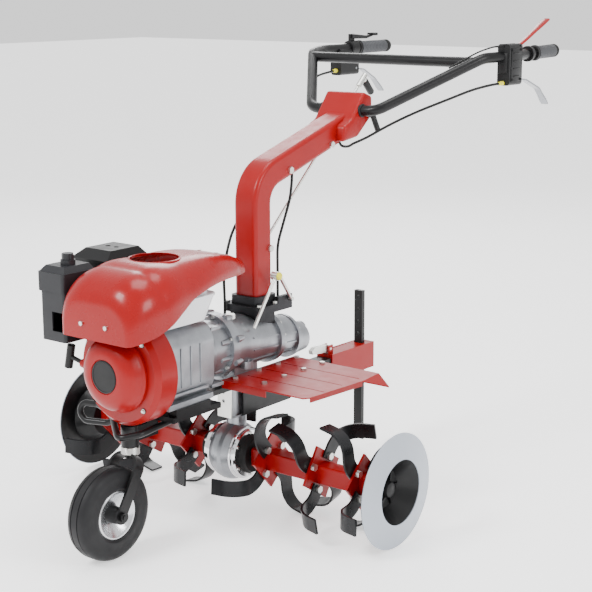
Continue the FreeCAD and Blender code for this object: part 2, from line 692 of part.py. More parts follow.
HOOD_SECTIONS = (            # (y, half width, top z, corner radius)
    (-430.0, 88.0, 566.0, 50.0), (-408.0, 112.0, 598.0, 60.0), (-340.0, 121.0, 614.0, 62.0),
    (-250.0, 112.0, 618.0, 58.0), (-150.0, 92.0, 618.0, 50.0), (-60.0, 66.0, 602.0, 36.0),
    (-8.0, 44.0, 584.0, 24.0),
)
HOOD_EDGE = (                # lower edge seen from the side, as (y, z)
    (-440.0, 474.0), (-404.0, 482.0), (-364.0, 492.0), (-330.0, 505.0), (-288.0, 528.0),
    (-240.0, 549.0), (-140.0, 561.0), (-20.0, 555.0), (0.0, 555.0),
)
HOOD_HOLE = (-250.0, 52.0)
HOOD_BOTTOM = 470.0


def arch(y, half, top, radius, inset):
    """Closed arch-shaped wire square to Y."""
    half, top, low = half - inset, top - inset, HOOD_BOTTOM
    r = radius - inset * 0.5
    k = math.sqrt(0.5)
    left_mid = Vector(-half + r * (1 - k), y, top - r * (1 - k))
    right_mid = Vector(half - r * (1 - k), y, top - r * (1 - k))
    edges = [
        Part.makeLine(Vector(-half, y, low), Vector(-half, y, top - r)),
        Part.Arc(Vector(-half, y, top - r), left_mid, Vector(-half + r, y, top)).toShape(),
        Part.makeLine(Vector(-half + r, y, top), Vector(half - r, y, top)),
        Part.Arc(Vector(half - r, y, top), right_mid, Vector(half, y, top - r)).toShape(),
        Part.makeLine(Vector(half, y, top - r), Vector(half, y, low)),
        Part.makeLine(Vector(half, y, low), Vector(-half, y, low)),
    ]
    return Part.Wire(edges)


def hood_solid(inset):
    wires = []
    for k, (y, half, top, radius) in enumerate(HOOD_SECTIONS):
        shift = inset if k == 0 else (-inset if k == len(HOOD_SECTIONS) - 1 else 0)
        wires.append(arch(y + shift, half, top, radius, inset))
    return Part.makeLoft(wires, True, True)


def hood():
    outer = hood_solid(0.0)
    inner = hood_solid(SKIN)
    posts = [rod((side * 66, y, TANK_TOP), (side * 66, y, 640), 6) for side in (-1, 1) for y in (-320, -185)]
    shell = fused([outer.cut(inner)] + [post.common(outer) for post in posts])
    below = [(-460.0, 300.0)] + list(HOOD_EDGE) + [(20.0, 300.0)]
    shell = shell.cut(side_plate(below, -200, 200))
    y, r = HOOD_HOLE
    return shell.cut(rod((0, y, 560), (0, y, 700), r))


TANK_BOTTOM = 490.0
TANK_SEAM = 543.0
TANK_TOP = 561.0


def rounded_loop(x0, x1, y0, y1, z, radius):
    """Outline of a level rounded rectangle."""
    plate = rounded_box(x0, x1, y0, y1, z, z + 1, radius)
    return min(plate.Faces, key=lambda face: face.CenterOfMass.z).OuterWire


def tank_lower(inset):
    """Lower half of the tank, wider at its seam, drawn smaller by the inset."""
    bottom = rounded_loop(
        -95 + inset, 95 - inset, -330 + inset, -185 - inset, TANK_BOTTOM + inset, 26 - inset)
    seam = rounded_loop(-105 + inset, 105 - inset, -345 + inset, -165 - inset, TANK_SEAM, 26 - inset)
    return Part.makeLoft([bottom, seam], True, True)


def tank_upper(inset):
    return rounded_box(
        -90 + inset, 90 - inset, -338 + inset, -172 - inset, TANK_SEAM - inset, TANK_TOP - inset, 24 - inset)


def fuel_tank():
    """Tank under the hood, with feet on the crankcase and room for the fan drum and the fins."""
    seam = rounded_box(-107, 107, -347, -163, TANK_SEAM - 2, TANK_SEAM + 2, 28)
    neck = rod((0, HOOD_HOLE[0], TANK_TOP - 6), (0, HOOD_HOLE[0], 574), 24)
    feet = [box(x, x + 22, y, y + 22, CASE_TOP, TANK_BOTTOM + 2) for x in (-37, 15) for y in (-300, -200)]
    tank = fused([tank_lower(0), tank_upper(0), seam, neck] + feet)
    drum = rod((0, -400, CRANK_Z), (0, FAN_REAR + 1, CRANK_Z), FAN_R + GAP)
    drum_wall = rod((0, -400, CRANK_Z), (0, FAN_REAR + 4, CRANK_Z), FAN_R + WALL)
    cavity = fused([tank_lower(WALL), tank_upper(WALL)]).cut(drum_wall)
    mouth = rod((0, HOOD_HOLE[0], TANK_TOP - 11), (0, HOOD_HOLE[0], 575), 19)
    fins = rod(along_barrel(60), along_barrel(BARREL_END), FIN_R + GAP)
    return tank.cut(cavity).cut(mouth).cut(drum).cut(fins)


def fuel_cap():
    y = HOOD_HOLE[0]
    cap = rod((0, y, 574 + GAP), (0, y, 590), 32)
    grip = box(-28, 28, y - 5, y + 5, 590, 600)
    stem = rod((0, y, 560), (0, y, 576), 19 - RUN_FIT)
    return fused([cap, grip, stem])


PULL_RISE = 12.5            # degrees of the starter rope above level
CLEANER_X = (-205.0, -124.0)
CLEANER_Y = (-393.0, -300.0)
CLEANER_Z = (443.0, 549.0, 590.0, 603.0)
KNOB_XY = (-156.0, -350.0)


def air_cleaner_base():
    """Box of the air cleaner with its cover stud and the carburettor block behind it."""
    x0, x1 = CLEANER_X
    y0, y1 = CLEANER_Y
    body = rounded_box(x0 + 6, x1, y0, y1, CLEANER_Z[0], CLEANER_Z[1], 8)
    body = body.cut(box(x0 + 10, x1 - 4, y0 + 4, y1 - 4, CLEANER_Z[0] + 4, CLEANER_Z[1] + 1))
    window = box(x1 - 40, x1 + 1, y0 - 1, y0 + 5, CLEANER_Z[0] + 22, CLEANER_Z[0] + 64)
    stud = rod((KNOB_XY[0], KNOB_XY[1], CLEANER_Z[0] + 2), (KNOB_XY[0], KNOB_XY[1], CLEANER_Z[3] + 12), 3)
    carburettor = box(-176, -136, y1 - 2, BARREL_Y, CLEANER_Z[0] + 10, CLEANER_Z[0] + 56)
    whole = fused([body.cut(window), carburettor, stud])
    fins = rod(along_barrel(60), along_barrel(BARREL_END + 16), FIN_R)
    drum = rod((0, FAN_FRONT - 1, CRANK_Z), (0, FAN_REAR, CRANK_Z), FAN_R + GAP)
    return whole.cut(fins).cut(drum)


def air_cleaner_cover():
    x0, x1 = CLEANER_X
    y0, y1 = CLEANER_Y
    low, high, top = CLEANER_Z[1], CLEANER_Z[2], CLEANER_Z[3]
    body = rounded_box(x0, x1, y0 - 2, y1 + 2, low, high, 8)
    lid_edge = flat_loop(x0 + 4, x1 - 2, y0 + 2, y1 - 2, high)
    lid_top = flat_loop(x0 + 14, x1 - 10, y0 + 12, y1 - 10, top)
    lid = Part.makeLoft([lid_edge, lid_top], True, True)
    shell = fused([body, lid]).cut(box(x0 + 3, x1 - SKIN, y0 + 1, y1 - 1, low - 1, high - SKIN))
    return shell.cut(rod((KNOB_XY[0], KNOB_XY[1], high - 5), (KNOB_XY[0], KNOB_XY[1], top + 5), 3.3))


def air_cleaner_knob():
    x, y = KNOB_XY
    z = CLEANER_Z[3] + GAP
    base = rod((x, y, z), (x, y, z + 10), 16)
    crown = rod((x, y, z + 10), (x, y, z + 24), 12)
    wing = box(x - 15, x + 15, y - 4, y + 4, z + 10, z + 22)
    return fused([base, crown, wing]).cut(rod((x, y, z - 1), (x, y, z + 14), 3 + RUN_FIT))


GUARD_X = (-224.0, -116.0)
GUARD_Y = (-276.0, -150.0)
GUARD_Z = (540.0, 600.0, 620.0)


def muffler():
    x0, x1 = GUARD_X
    y0, y1 = GUARD_Y
    can = rounded_box(x0 + 10, x1 - 8, y0 + 10, y1 - 10, GUARD_Z[0] - 16, GUARD_Z[1] - 4, 18, "X")
    flange = box(-176, -140, -226, -190, 480, GUARD_Z[0] - 12)
    posts = [rod((x, y, GUARD_Z[1] - 8), (x, y, GUARD_Z[2] - 2), 5) for x, y in ((-190, -240), (-146, -185))]
    whole = fused([can, flange] + posts)
    return whole.cut(rod(along_barrel(60), along_barrel(BARREL_END + 16), FIN_R))


def guard_body(inset):
    """Box with a bevelled top, drawn smaller all round by the inset."""
    x0, x1 = GUARD_X[0] + inset, GUARD_X[1] - inset
    y0, y1 = GUARD_Y[0] + inset, GUARD_Y[1] - inset
    high, top = GUARD_Z[1] - inset, GUARD_Z[2] - inset
    foot = GUARD_Z[0] - (1 if inset else 0)
    bevel = Part.makeLoft([flat_loop(x0, x1, y0, y1, high),
                           flat_loop(x0 + 22, x1 - 8, y0 + 22, y1 - 20, top)], True, True)
    return fused([box(x0, x1, y0, y1, foot, high), bevel])


def muffler_guard():
    shell = guard_body(0).cut(guard_body(2))
    for x in (-176, -150):
        shell = shell.cut(rod((x, -212, GUARD_Z[2] - 20), (x, -212, GUARD_Z[2] + 5), 6))
    return shell


def pull_line(distance, across=0.0):
    """Point on the line of the starter rope, measured outwards from the drum."""
    rise = math.radians(PULL_RISE)
    out, up = math.cos(rise), math.sin(rise)
    return Vector(-108 - out * distance + up * across, -350, 390 + up * distance + out * across)


def starter_grip():
    """T handle of the pull starter, parked at the side of the drum."""
    stem = rod(pull_line(4), pull_line(54), 5)
    bar = rod(pull_line(54, -26), pull_line(54, 26), 9)
    return fused([stem, bar])


def engine():
    NODES["crankcase"] = crankcase()
    NODES["crankcase_cover"] = crankcase_cover()
    NODES["crankshaft"] = crankshaft()
    NODES["flywheel"] = flywheel()
    NODES["piston"] = piston()
    NODES["fan_cover"] = fan_cover()
    NODES["recoil_cover"] = recoil_cover()
    NODES["hood"] = hood()
    NODES["fuel_tank"] = fuel_tank()
    NODES["fuel_cap"] = fuel_cap()
    NODES["air_cleaner_base"] = air_cleaner_base()
    NODES["air_cleaner_cover"] = air_cleaner_cover()
    NODES["air_cleaner_knob"] = air_cleaner_knob()
    NODES["muffler"] = muffler()
    NODES["muffler_guard"] = muffler_guard()
    NODES["starter_grip"] = starter_grip()


# ---- frame, wheel, fenders and hitch --------------------------------------------------------------
RAIL_Z = (285.0, 297.0, CASE_BOTTOM)
SOCKET_Y = -337.0
STEM_R = 12.0
FORK_TOP = 212.0
FORK_STRIP = 6.0            # thickness and half width of the strip bent into the fork
FORK_CORNER = 32.0
HUB_PIN = 14.0              # how far the wheel axle's shoulders stand out of the fork's inside faces
FORK_HALF = 13.0
FENDER_THICK = 3.0
FENDER_BOLTS_IN = (-52.0, 30.0, 100.0, 170.0)
FENDER_BOLTS_OUT = (-45.0, 25.0, 96.0, 166.0)
HITCH_BEAM_END = 420.0
STAKE_X = 24.0
STAKE_Y_THICK = 12.0
BUMPER_R = 7.0
BUMPER_PATH = (
    (50, -235, 277.9), (55, -360, 271), (20, -392, 262), (-72, -318, 282), (-140, -292, 283),
    (-218, -303, 281), (-170, -303, 243), (-120, -285, 243), (-60, -275, 271), (-50, -240, 277.9),
)


def front_frame():
    low, middle, high = RAIL_Z
    rails = [box(x, x + 24, -290, -182, middle, high) for x in (-92, 68)]
    deck = box(-92, 92, -300, -150, low, middle)
    tongue = box(-25, 25, -300, -36, low, middle)
    arm = box(-18, 18, SOCKET_Y, -270, low - 43, low - 11)
    arm_root = box(-18, 18, -304, -270, low - 43, low)
    socket = rod((0, SOCKET_Y, low - 55), (0, SOCKET_Y, low - 9), 19)
    whole = fused([deck, tongue, arm, arm_root, socket] + rails)
    return whole.cut(rod((0, SOCKET_Y, 200), (0, SOCKET_Y, 300), STEM_R + RUN_FIT))


def wheel_fork():
    """Strip bent into an arch over the tyre, leaning back from the axle to the stem."""
    back, up = SOCKET_Y - WHEEL_Y, FORK_TOP - WHEEL_R
    height = math.hypot(back, up)
    half = WHEEL_WIDTH / 2 + FORK_CLEAR
    outer_half = half + FORK_STRIP
    outside = rounded_box(
        -outer_half, outer_half, -FORK_HALF, FORK_HALF, -90, height, FORK_CORNER, "Y")
    inside = rounded_box(
        -half, half, -FORK_HALF - 1, FORK_HALF + 1, -91, height - FORK_STRIP, FORK_CORNER - FORK_STRIP, "Y")
    arch_strip = outside.cut(inside).cut(box(-80, 80, -20, 20, -95, -10))
    arch_strip.rotate(Vector(0, 0, 0), Vector(1, 0, 0), -math.degrees(math.atan2(back, up)))
    arch_strip.translate(Vector(0, WHEEL_Y, WHEEL_R))
    stem = rod((0, SOCKET_Y, FORK_TOP - 8), (0, SOCKET_Y, RAIL_Z[0] - 6), STEM_R)
    coils = []
    for lift in (5, 9, 13):
        low = (0, SOCKET_Y, FORK_TOP + lift)
        high = (0, SOCKET_Y, FORK_TOP + lift + 2.5)
        coils.append(rod(low, high, STEM_R + 4))
    axle = rod((-half - HUB_PIN - 2, WHEEL_Y, WHEEL_R), (half + HUB_PIN + 2, WHEEL_Y, WHEEL_R), 6)
    ends = []
    for side in (-1, 1):
        inner = (side * half, WHEEL_Y, WHEEL_R)
        ends.append(rod(inner, (side * outer_half, WHEEL_Y, WHEEL_R), 17))
        ends.append(rod(inner, (side * (half + HUB_PIN), WHEEL_Y, WHEEL_R), 10))
    return fused([arch_strip, stem, axle] + coils + ends)


def wheel_tyre():
    half = WHEEL_WIDTH / 2
    profile = [
        (-half + 4, RIM_R), (-half, RIM_R + 10), (-half, WHEEL_R - 14), (-half + 4, WHEEL_R - 5),
        (-half + 12, WHEEL_R), (half - 12, WHEEL_R), (half - 4, WHEEL_R - 5), (half, WHEEL_R - 14),
        (half, RIM_R + 10), (half - 4, RIM_R),
    ]
    return lathe_x(profile, WHEEL_R, WHEEL_Y)


def wheel_rim():
    """Rim of two pressed cones on a hub that turns on the fork's axle."""
    half = WHEEL_WIDTH / 2 - 4
    rim = lathe_x([(-half, RIM_R - 5), (-half, RIM_R), (half, RIM_R), (half, RIM_R - 5)], WHEEL_R, WHEEL_Y)
    cone = lathe_x(
        [(half - 2, RIM_R - 2), (6, 16), (0, 16), (0, 20), (half - 8, RIM_R - 2)], WHEEL_R, WHEEL_Y)
    hub = lathe_x([(-half - 4, 6 + RUN_FIT), (-half - 4, 18), (half + 4, 18), (half + 4, 6 + RUN_FIT)],
                  WHEEL_R, WHEEL_Y)
    return fused([rim, cone, mirrored(cone), hub])


def bumper():
    return pipe(BUMPER_PATH, [18] * (len(BUMPER_PATH) - 2), BUMPER_R)


def fender():
    """Left fender: ribbed deck, front and side lips and the bent rear corner."""
    x0, x1 = FENDER_X
    y0, y1 = FENDER_Y
    low = FENDER_Z - FENDER_THICK
    deck = outline([(x0, y0, low), (x1 - 14, y0, low), (x1 - 4, y0 + 15, low), (x1 + 10, 105, low),
                    (x1 + 2, y1, low), (x0, y1, low)]).extrude(Vector(0, 0, FENDER_THICK))
    corner = outline([(x1 + 10, 105, low), (x1 + 42, 163, low - 20), (x1 + 2, y1, low)])
    corner = corner.extrude(Vector(0, 0, FENDER_THICK))
    front_lip = box(x0, 159, y0, y0 + 3, 302, FENDER_Z)
    side_lip = outline([
        (x1 - 4, y0 + 15, 308), (x1 + 10, 105, 308), (x1 + 7, 105, 308), (x1 - 7, y0 + 15, 308)])
    side_lip = side_lip.extrude(Vector(0, 0, 10))
    strip = box(x0, x0 + 26, y0, y1, low - 6, low)
    whole = fused([deck, corner, front_lip, side_lip, strip])
    for k in (1, 2, 3):
        y = y0 + 65 * k
        whole = whole.cut(box(x0 + 20, x1 - 6, y - 1.5, y + 1.5, FENDER_Z - 1, FENDER_Z + 1))
    return whole


def hitch_plate():
    """Two cheeks on the leg and the square beam that runs back to the drag stake."""
    cheeks = both_sides(box(LEG_X, LEG_X + 5, 4, 178, 215, 277))
    beam = box(-LEG_X, LEG_X, LEG_Y[1] + 14, HITCH_BEAM_END, 238, 276)
    beam = beam.cut(box(-LEG_X + 3, LEG_X - 3, LEG_Y[1] + 20, HITCH_BEAM_END + 1, 241, 273))
    return fused([beam] + cheeks.Solids)


def hitch_bracket():
    side = [(346, 286), (524, 284), (524, 218), (470, 218), (346, 236)]
    cheeks = both_sides(side_plate(side, LEG_X, LEG_X + 4)).Solids
    roof = box(-LEG_X - 4, LEG_X + 4, 346, 524, 276, 284).cut(box(-100, 100, 524, 530, 200, 300))
    x_half, y_half = STAKE_X / 2 + GAP, STAKE_Y_THICK / 2 + GAP
    block = box(-LEG_X, LEG_X, STAKE_Y - 22, STAKE_Y + 22, 218, 284)
    lugs = both_sides(box(7, 11, 348, 366, 284, 306)).Solids
    whole = fused([roof, block] + cheeks + lugs)
    whole = whole.cut(box(-x_half, x_half, STAKE_Y - y_half, STAKE_Y + y_half, 200, 300))
    return whole.cut(rod((-12, 357, 297), (12, 357, 297), 3 + RUN_FIT))


def drag_stake():
    x, y = STAKE_X / 2, STAKE_Y_THICK / 2
    bar = box(-x, x, STAKE_Y - y, STAKE_Y + y, STAKE_FOOT + 22, STAKE_TOP)
    point = side_plate([(STAKE_Y - y, STAKE_FOOT + 22), (STAKE_Y + y, STAKE_FOOT + 22),
                        (STAKE_Y + y, STAKE_FOOT)], -x, x)
    stake = fused([bar, point])
    for k in range(5):
        z = STAKE_TOP - 16 - 32 * k
        stake = stake.cut(rod((0, STAKE_Y - 20, z), (0, STAKE_Y + 20, z), 4.2))
    return stake


def hitch_lever():
    """Cam lever that locks the hitch; it lies forwards and swings up."""
    profile = [(366, 292), (364, 303), (352, 307), (300, 310), (288, 304), (290, 295), (350, 288)]
    plate = side_plate(profile, -6, 6)
    pin = rod((-11, 357, 297), (11, 357, 297), 3)
    return fused([plate, pin])


def frame_parts():
    NODES["front_frame"] = front_frame()
    NODES["wheel_fork"] = wheel_fork()
    NODES["wheel_tyre"] = wheel_tyre()
    NODES["wheel_rim"] = wheel_rim()
    NODES["bumper"] = bumper()
    NODES["fenders"] = both_sides(fender())
    NODES["hitch_plate"] = hitch_plate()
    NODES["hitch_bracket"] = hitch_bracket()
    NODES["drag_stake"] = drag_stake()
    NODES["hitch_lever"] = hitch_lever()


# ---- steering column and handlebar ----------------------------------------------------------------
HEAD_X = 57.0
HEAD_SIDE = ((343.0, 812.0), (350.0, 850.0), (378.0, 862.0), (428.0, 926.0), (456.0, 916.0),
             (456.0, 862.0), (404.0, 820.0))
ROD_FOOT = (0.0, 90.0, 578.0)
ROD_LINE = (0.0, 0.74, 0.6726)
ROD_R = 3.5
ROD_HOLE_R = 3.8
BAR_WALL = 2.0
BAR_STUB = 22.0
BUSH_R = 16.0
CROSS_SHARE = 0.92          # how far up the handlebar's side the crossbar joins
CABLE_R = 3.2


def column_sweep(inset):
    """The column's box section, smaller by the inset, swept up the post and along the arm."""
    x, y = COLUMN_X / 2 - inset, COLUMN_Y / 2 - inset
    section = rounded_box(
        -x, x, COLUMN_YC - y, COLUMN_YC + y, COLUMN_FOOT, COLUMN_FOOT + 10, 10 - inset * 0.8)
    face = min(section.Faces, key=lambda f: f.CenterOfMass.z)
    tilt = math.radians(ARM_TILT)
    knee = (0, COLUMN_YC, COLUMN_KNEE)
    end = (0, COLUMN_YC + ARM_LENGTH * math.cos(tilt), COLUMN_KNEE + ARM_LENGTH * math.sin(tilt))
    path = rounded_path([(0, COLUMN_YC, COLUMN_FOOT), knee, end], [75])
    return path.makePipeShell([face.OuterWire], True, False)


def rod_point(distance):
    return Vector(*ROD_FOOT) + Vector(*ROD_LINE) * distance


def column():
    shell = column_sweep(0).cut(column_sweep(COLUMN_WALL))
    tab = box(-3, 3, 206, 226, 756, 770)
    shell = fused([shell, tab.cut(column_sweep(COLUMN_WALL))])
    shell = shell.cut(rod(rod_point(-30), rod_point(480), ROD_HOLE_R))
    for path in (CABLE_NEAR, CABLE_FAR):
        shell = shell.cut(rod(path[0], path[1], CABLE_R + GAP))
    return shell


def column_base():
    plate = rounded_box(-55, 55, 25, 125, BASE_Z, COLUMN_FOOT, 10)
    block = box(-38, 38, 35, BELL_JOINT - JOINT_HALF, 390, BASE_Z).cut(gearbox_outer())
    socket = rounded_box(-COLUMN_X / 2 - 8, COLUMN_X / 2 + 8, COLUMN_YC - 38, COLUMN_YC + 38,
                         COLUMN_FOOT, COLUMN_FOOT + 20, 12)
    socket = socket.cut(rounded_box(-COLUMN_X / 2, COLUMN_X / 2, COLUMN_YC - COLUMN_Y / 2,
                                    COLUMN_YC + COLUMN_Y / 2, COLUMN_FOOT - 1, COLUMN_FOOT + 21, 10))
    lug = box(45, 55, 96, 147, BASE_Z, SHIFT_PIVOT[1] + 10)
    whole = fused([plate, block, socket, lug])
    return whole.cut(rod((40, *SHIFT_PIVOT), (60, *SHIFT_PIVOT), SHIFT_PIN_R + RUN_FIT))


def head_shell(inset, x):
    """Side outline of the head, smaller by the inset along its front and underside."""
    low_front, front, brow, top, back_top, back, low_back = HEAD_SIDE
    points = [
        (low_front[0] + inset, low_front[1] + inset), (front[0] + inset, front[1] - inset),
        (brow[0] + inset * 0.5, brow[1] - inset), (top[0], top[1] - inset * 1.4),
        (back_top[0] + (6 if inset else 0), back_top[1] - inset),
        (back[0] + (6 if inset else 0), back[1] + (6 if inset else 0)),
        (low_back[0] + (3 if inset else 0), low_back[1] + inset),
    ]
    return side_plate(points, -x, x)


def column_head():
    """Sheet housing at the end of the arm, open to the rear, with the bushes of the handlebar."""
    shell = head_shell(0, HEAD_X).cut(head_shell(SKIN, HEAD_X - SKIN))
    bushes = []
    for side in (-1, 1):
        bushes.append(rod((side * 26, BAR_Y, BAR_Z), (side * (HEAD_X + 5), BAR_Y, BAR_Z), BUSH_R))
        near, far = sorted((side * 26, side * 30))
        bushes.append(box(near, far, BAR_Y - 14, BAR_Y + 14, 860, 905))
    bridge = box(-HEAD_X + 1, HEAD_X - 1, 345, 352, 815, 852)
    whole = fused([shell, bridge] + bushes)
    whole = whole.cut(rod((-70, BAR_Y, BAR_Z), (70, BAR_Y, BAR_Z), BAR_R + RUN_FIT))
    whole = whole.cut(column_sweep(0))
    whole = whole.cut(rod(rod_point(300), rod_point(640), ROD_HOLE_R))
    knob_y, knob_z = KNOB_YZ
    return whole.cut(rod((HEAD_X - 5, knob_y, knob_z), (HEAD_X + 1, knob_y, knob_z), 4 + RUN_FIT))


BAR_CORNER = (95.0, BAR_Y, BAR_Z)
BAR_ELBOW = (258.0, 636.0, 1002.0)
BAR_SHOULDER = (BAR_REACH_X, 712.0, 1005.0)
BAR_TIP = (GRIP_X, GRIP_END, GRIP_Z)
GRIP_START_Y = 862.0
KNOB_YZ = (447.0, 872.0)


def bar_point(y):
    """Point on the centre line of the left grip tube at a given Y."""
    share = (y - BAR_SHOULDER[1]) / (BAR_TIP[1] - BAR_SHOULDER[1])
    return Vector(*BAR_SHOULDER) + (Vector(*BAR_TIP) - Vector(*BAR_SHOULDER)) * share


def bar_side(radius):
    """Left half of the handlebar: stub in the head, rising side and grip end."""
    path = [(BAR_STUB, BAR_Y, BAR_Z), BAR_CORNER, BAR_ELBOW, BAR_SHOULDER, BAR_TIP]
    return pipe(path, [45, 60, 90], radius)


def handlebar():
    side = bar_side(BAR_R)
    hollow = bar_side(BAR_R - BAR_WALL)
    corner, elbow = Vector(*BAR_CORNER), Vector(*BAR_ELBOW)
    joint = corner + (elbow - corner) * CROSS_SHARE
    cross = rod((-joint.x, joint.y, joint.z), (joint.x, joint.y, joint.z), BAR_R)
    whole = fused([side, mirrored(side), cross])
    return whole.cut(hollow).cut(mirrored(hollow))


def hand_grip():
    start, end = bar_point(GRIP_START_Y), Vector(*BAR_TIP)
    ahead = (end - start).normalize()
    length = (end - start).Length
    sleeve = Part.makeCylinder(GRIP_R, length + 6, start, ahead)
    collar = Part.makeCylinder(GRIP_R + 3, 5, start, ahead)
    sleeve = fused([sleeve, collar])
    return sleeve.cut(Part.makeCylinder(BAR_R, length, start, ahead))


# controls: the left bracket carries the clutch and stop levers, the right one clutch and throttle
LEFT_BRACKET_Y = (690.0, 752.0)
RIGHT_BRACKET_Y = (765.0, 848.0)
LEFT_CLUTCH_PIVOT = (738.0, 950.0)
RIGHT_CLUTCH_PIVOT = (836.0, 952.0)
STOP_PIVOT = (741.0, 1030.0)
THROTTLE_PIVOT = (836.0, 1036.0)
SHIFT_PIVOT = (136.0, 471.0)
SHIFT_X = 61.0
SHIFT_PIN_R = 4.5
LEVER_THICK = 4.0
LEVER_REACH = 12.0          # half width of the strip that the flat levers are cut from


def left_bracket():
    x = bar_point(720).x
    y0, y1 = LEFT_BRACKET_Y
    body = rounded_box(x - 17, x + 17, y0, y1, 935, 1035, 8, "Y")
    body = body.cut(box(x - 4.5, x + 4.5, y0 + 24, y1 + 1, 930, 968))
    body = body.cut(box(x - 4.5, x + 4.5, y0 + 30, y1 + 1, 1022.5, 1040))
    body = body.cut(rod((x - 20, *LEFT_CLUTCH_PIVOT), (x + 20, *LEFT_CLUTCH_PIVOT), 3 + RUN_FIT))
    return body.cut(rod((x - 20, *STOP_PIVOT), (x + 20, *STOP_PIVOT), 2.5 + RUN_FIT))


def right_bracket():
    x = -bar_point(806).x
    y0, y1 = RIGHT_BRACKET_Y
    body = rounded_box(x - 17, x + 17, y0, y1, 935, 1006, 8, "Y")
    front, rear = bar_point(y1 - 26), bar_point(y1)
    ring = rod((-front.x, y1 - 26, front.z), (-rear.x, y1, rear.z), 20)
    lug = box(x - 4, x + 3, 826, 846, 1020, 1044)
    body = fused([body, ring, lug])
    body = body.cut(box(x - 4.5, x + 4.5, y0 + 40, y1 + 1, 930, 972))
    body = body.cut(rod((x - 20, *RIGHT_CLUTCH_PIVOT), (x + 20, *RIGHT_CLUTCH_PIVOT), 3 + RUN_FIT))
    return body.cut(rod((x - 20, *THROTTLE_PIVOT), (x + 20, *THROTTLE_PIVOT), 3 + RUN_FIT))


def control_brackets():
    tube_left = bar_side(BAR_R)
    return group([left_bracket().cut(tube_left), right_bracket().cut(mirrored(tube_left))])


def flat_lever(x, pivot, path_yz, plan, pin_r):
    """Lever on its pin: a strip along the path, as wide as the plan of (y, half width) allows."""
    y, z = pivot
    points = [(x, y, z)] + [(x, py, pz) for py, pz in path_yz]
    start, ahead = Vector(*points[0]), (Vector(*points[1]) - Vector(*points[0])).normalize()
    side, up = Vector(LEVER_REACH, 0, 0), Vector(1, 0, 0).cross(ahead) * (LEVER_THICK / 2)
    corners = [start - side - up, start + side - up, start + side + up, start - side + up]
    path = rounded_path(points, [26] * (len(points) - 2))
    strip = path.makePipeShell([Part.makePolygon(corners + corners[:1])], True, False)
    edge = [(x + half, py, 800) for py, half in plan] + [(x - half, py, 800) for py, half in reversed(plan)]
    strip = strip.common(outline(edge).extrude(Vector(0, 0, 400)))
    pin = rod((x - 17, y, z), (x + 17, y, z), pin_r)
    root = rod((x - 4, y, z), (x + 4, y, z), pin_r + 3)
    return fused([strip, pin, root])


def clutch_lever(x, pivot, path_yz, bracket_end):
    tip = path_yz[-1][0]
    plan = [
        (pivot[0] - 2, 4), (bracket_end + 2, 4), (bracket_end + 14, 8),
        (tip - 30, 8), (tip - 12, 10), (tip + 4, 9),
    ]
    return flat_lever(x, pivot, path_yz, plan, 3.0)


def stop_lever():
    plan = [(739, 4), (755, 4), (766, 7.5), (850, 7.5), (884, 10.5), (904, 10.5)]
    return flat_lever(bar_point(720).x, STOP_PIVOT, [(800, 1044), (902, 1090)], plan, 2.5)


def throttle_lever():
    x = -bar_point(806).x
    plate = side_plate([(830, 1033), (831, 1042), (844, 1043), (896, 1038), (936, 1045),
                        (938, 1039), (896, 1030),
                        (842, 1031)], x + 3 + GAP, x + 8)
    pad = rounded_box(x - 6, x + 14, 918, 942, 1037, 1045, 3, "Y")
    pin = rod((x - 4, *THROTTLE_PIVOT), (x + 8, *THROTTLE_PIVOT), 3)
    return fused([plate, pad, pin])


CABLE_NEAR = ((24, 187, 775), (24, 187, 735), (28, 174, 694), (36, 138, 642), (37, 116, 598),
              (38, 115, 528), (37, 116, COLUMN_FOOT))
CABLE_FAR = ((-24, 190, 775), (-24, 190, 735), (-38, 150, 705), (-42, 90, 670), (-42, 50, 630),
             (-40, 27, 583), (-41, 17, 526), (-CABLE_FAR_X, CABLE_FAR_Y, 484),
             (-CABLE_FAR_X, CABLE_FAR_Y, CABLE_FAR_Z))
CLUTCH_LEFT = ((284, 689.4, 941), (276, 645, 939), (252, 600, 929), (206, 545, 903), (150, 507, 876),
               (100, 470, 846), (64, 424, 816), (46, 398, 804))
CLUTCH_RIGHT = ((-276, 764.4, 948), (-274, 720, 945), (-266, 665, 940), (-244, 605, 926), (-204, 550, 903),
                (-150, 507, 876), (-100, 470, 846), (-64, 424, 816), (-46, 398, 804))
STOP_WIRE = ((284, 689.4, 1030), (274, 664, 1030), (254, 630, 1020), (230, 598, 1001), (206, 566, 980.6))


def column_cables():
    return group([cord(CABLE_NEAR, CABLE_R), cord(CABLE_FAR, CABLE_R)])


def clutch_cables():
    return group([cord(CLUTCH_LEFT, CABLE_R), cord(CLUTCH_RIGHT, CABLE_R), cord(STOP_WIRE, 2.0)])


def selector_rod():
    shaft = rod(rod_point(0), rod_point(550), ROD_R)
    grip = rod(rod_point(528), rod_point(568), 7)
    tail = rod(rod_point(556), rod_point(556) + Vector(0, 34, -36), 7)
    return fused([shaft, grip, tail])


def shift_lever():
    y, z = SHIFT_PIVOT
    bar = pipe([(SHIFT_X, y, z), (SHIFT_X, 86, 542), (SHIFT_X, 1, 427)], [14], 4)
    pin = rod((44, y, z), (SHIFT_X + 5, y, z), SHIFT_PIN_R)
    knob = rod((SHIFT_X - 8, 80, 534), (SHIFT_X + 9, 80, 534), 10)
    return fused([bar, pin, knob])


def height_knob():
    y, z = KNOB_YZ
    pin = rod((HEAD_X - 8, y, z), (HEAD_X + 14, y, z), 4)
    handle = rod((HEAD_X + 10, y - 2, z + 3), (HEAD_X + 10, y + 24, z - 42), 7)
    washer = rod((HEAD_X + GAP, y, z), (HEAD_X + 6, y, z), 9)
    return fused([pin, handle, washer])


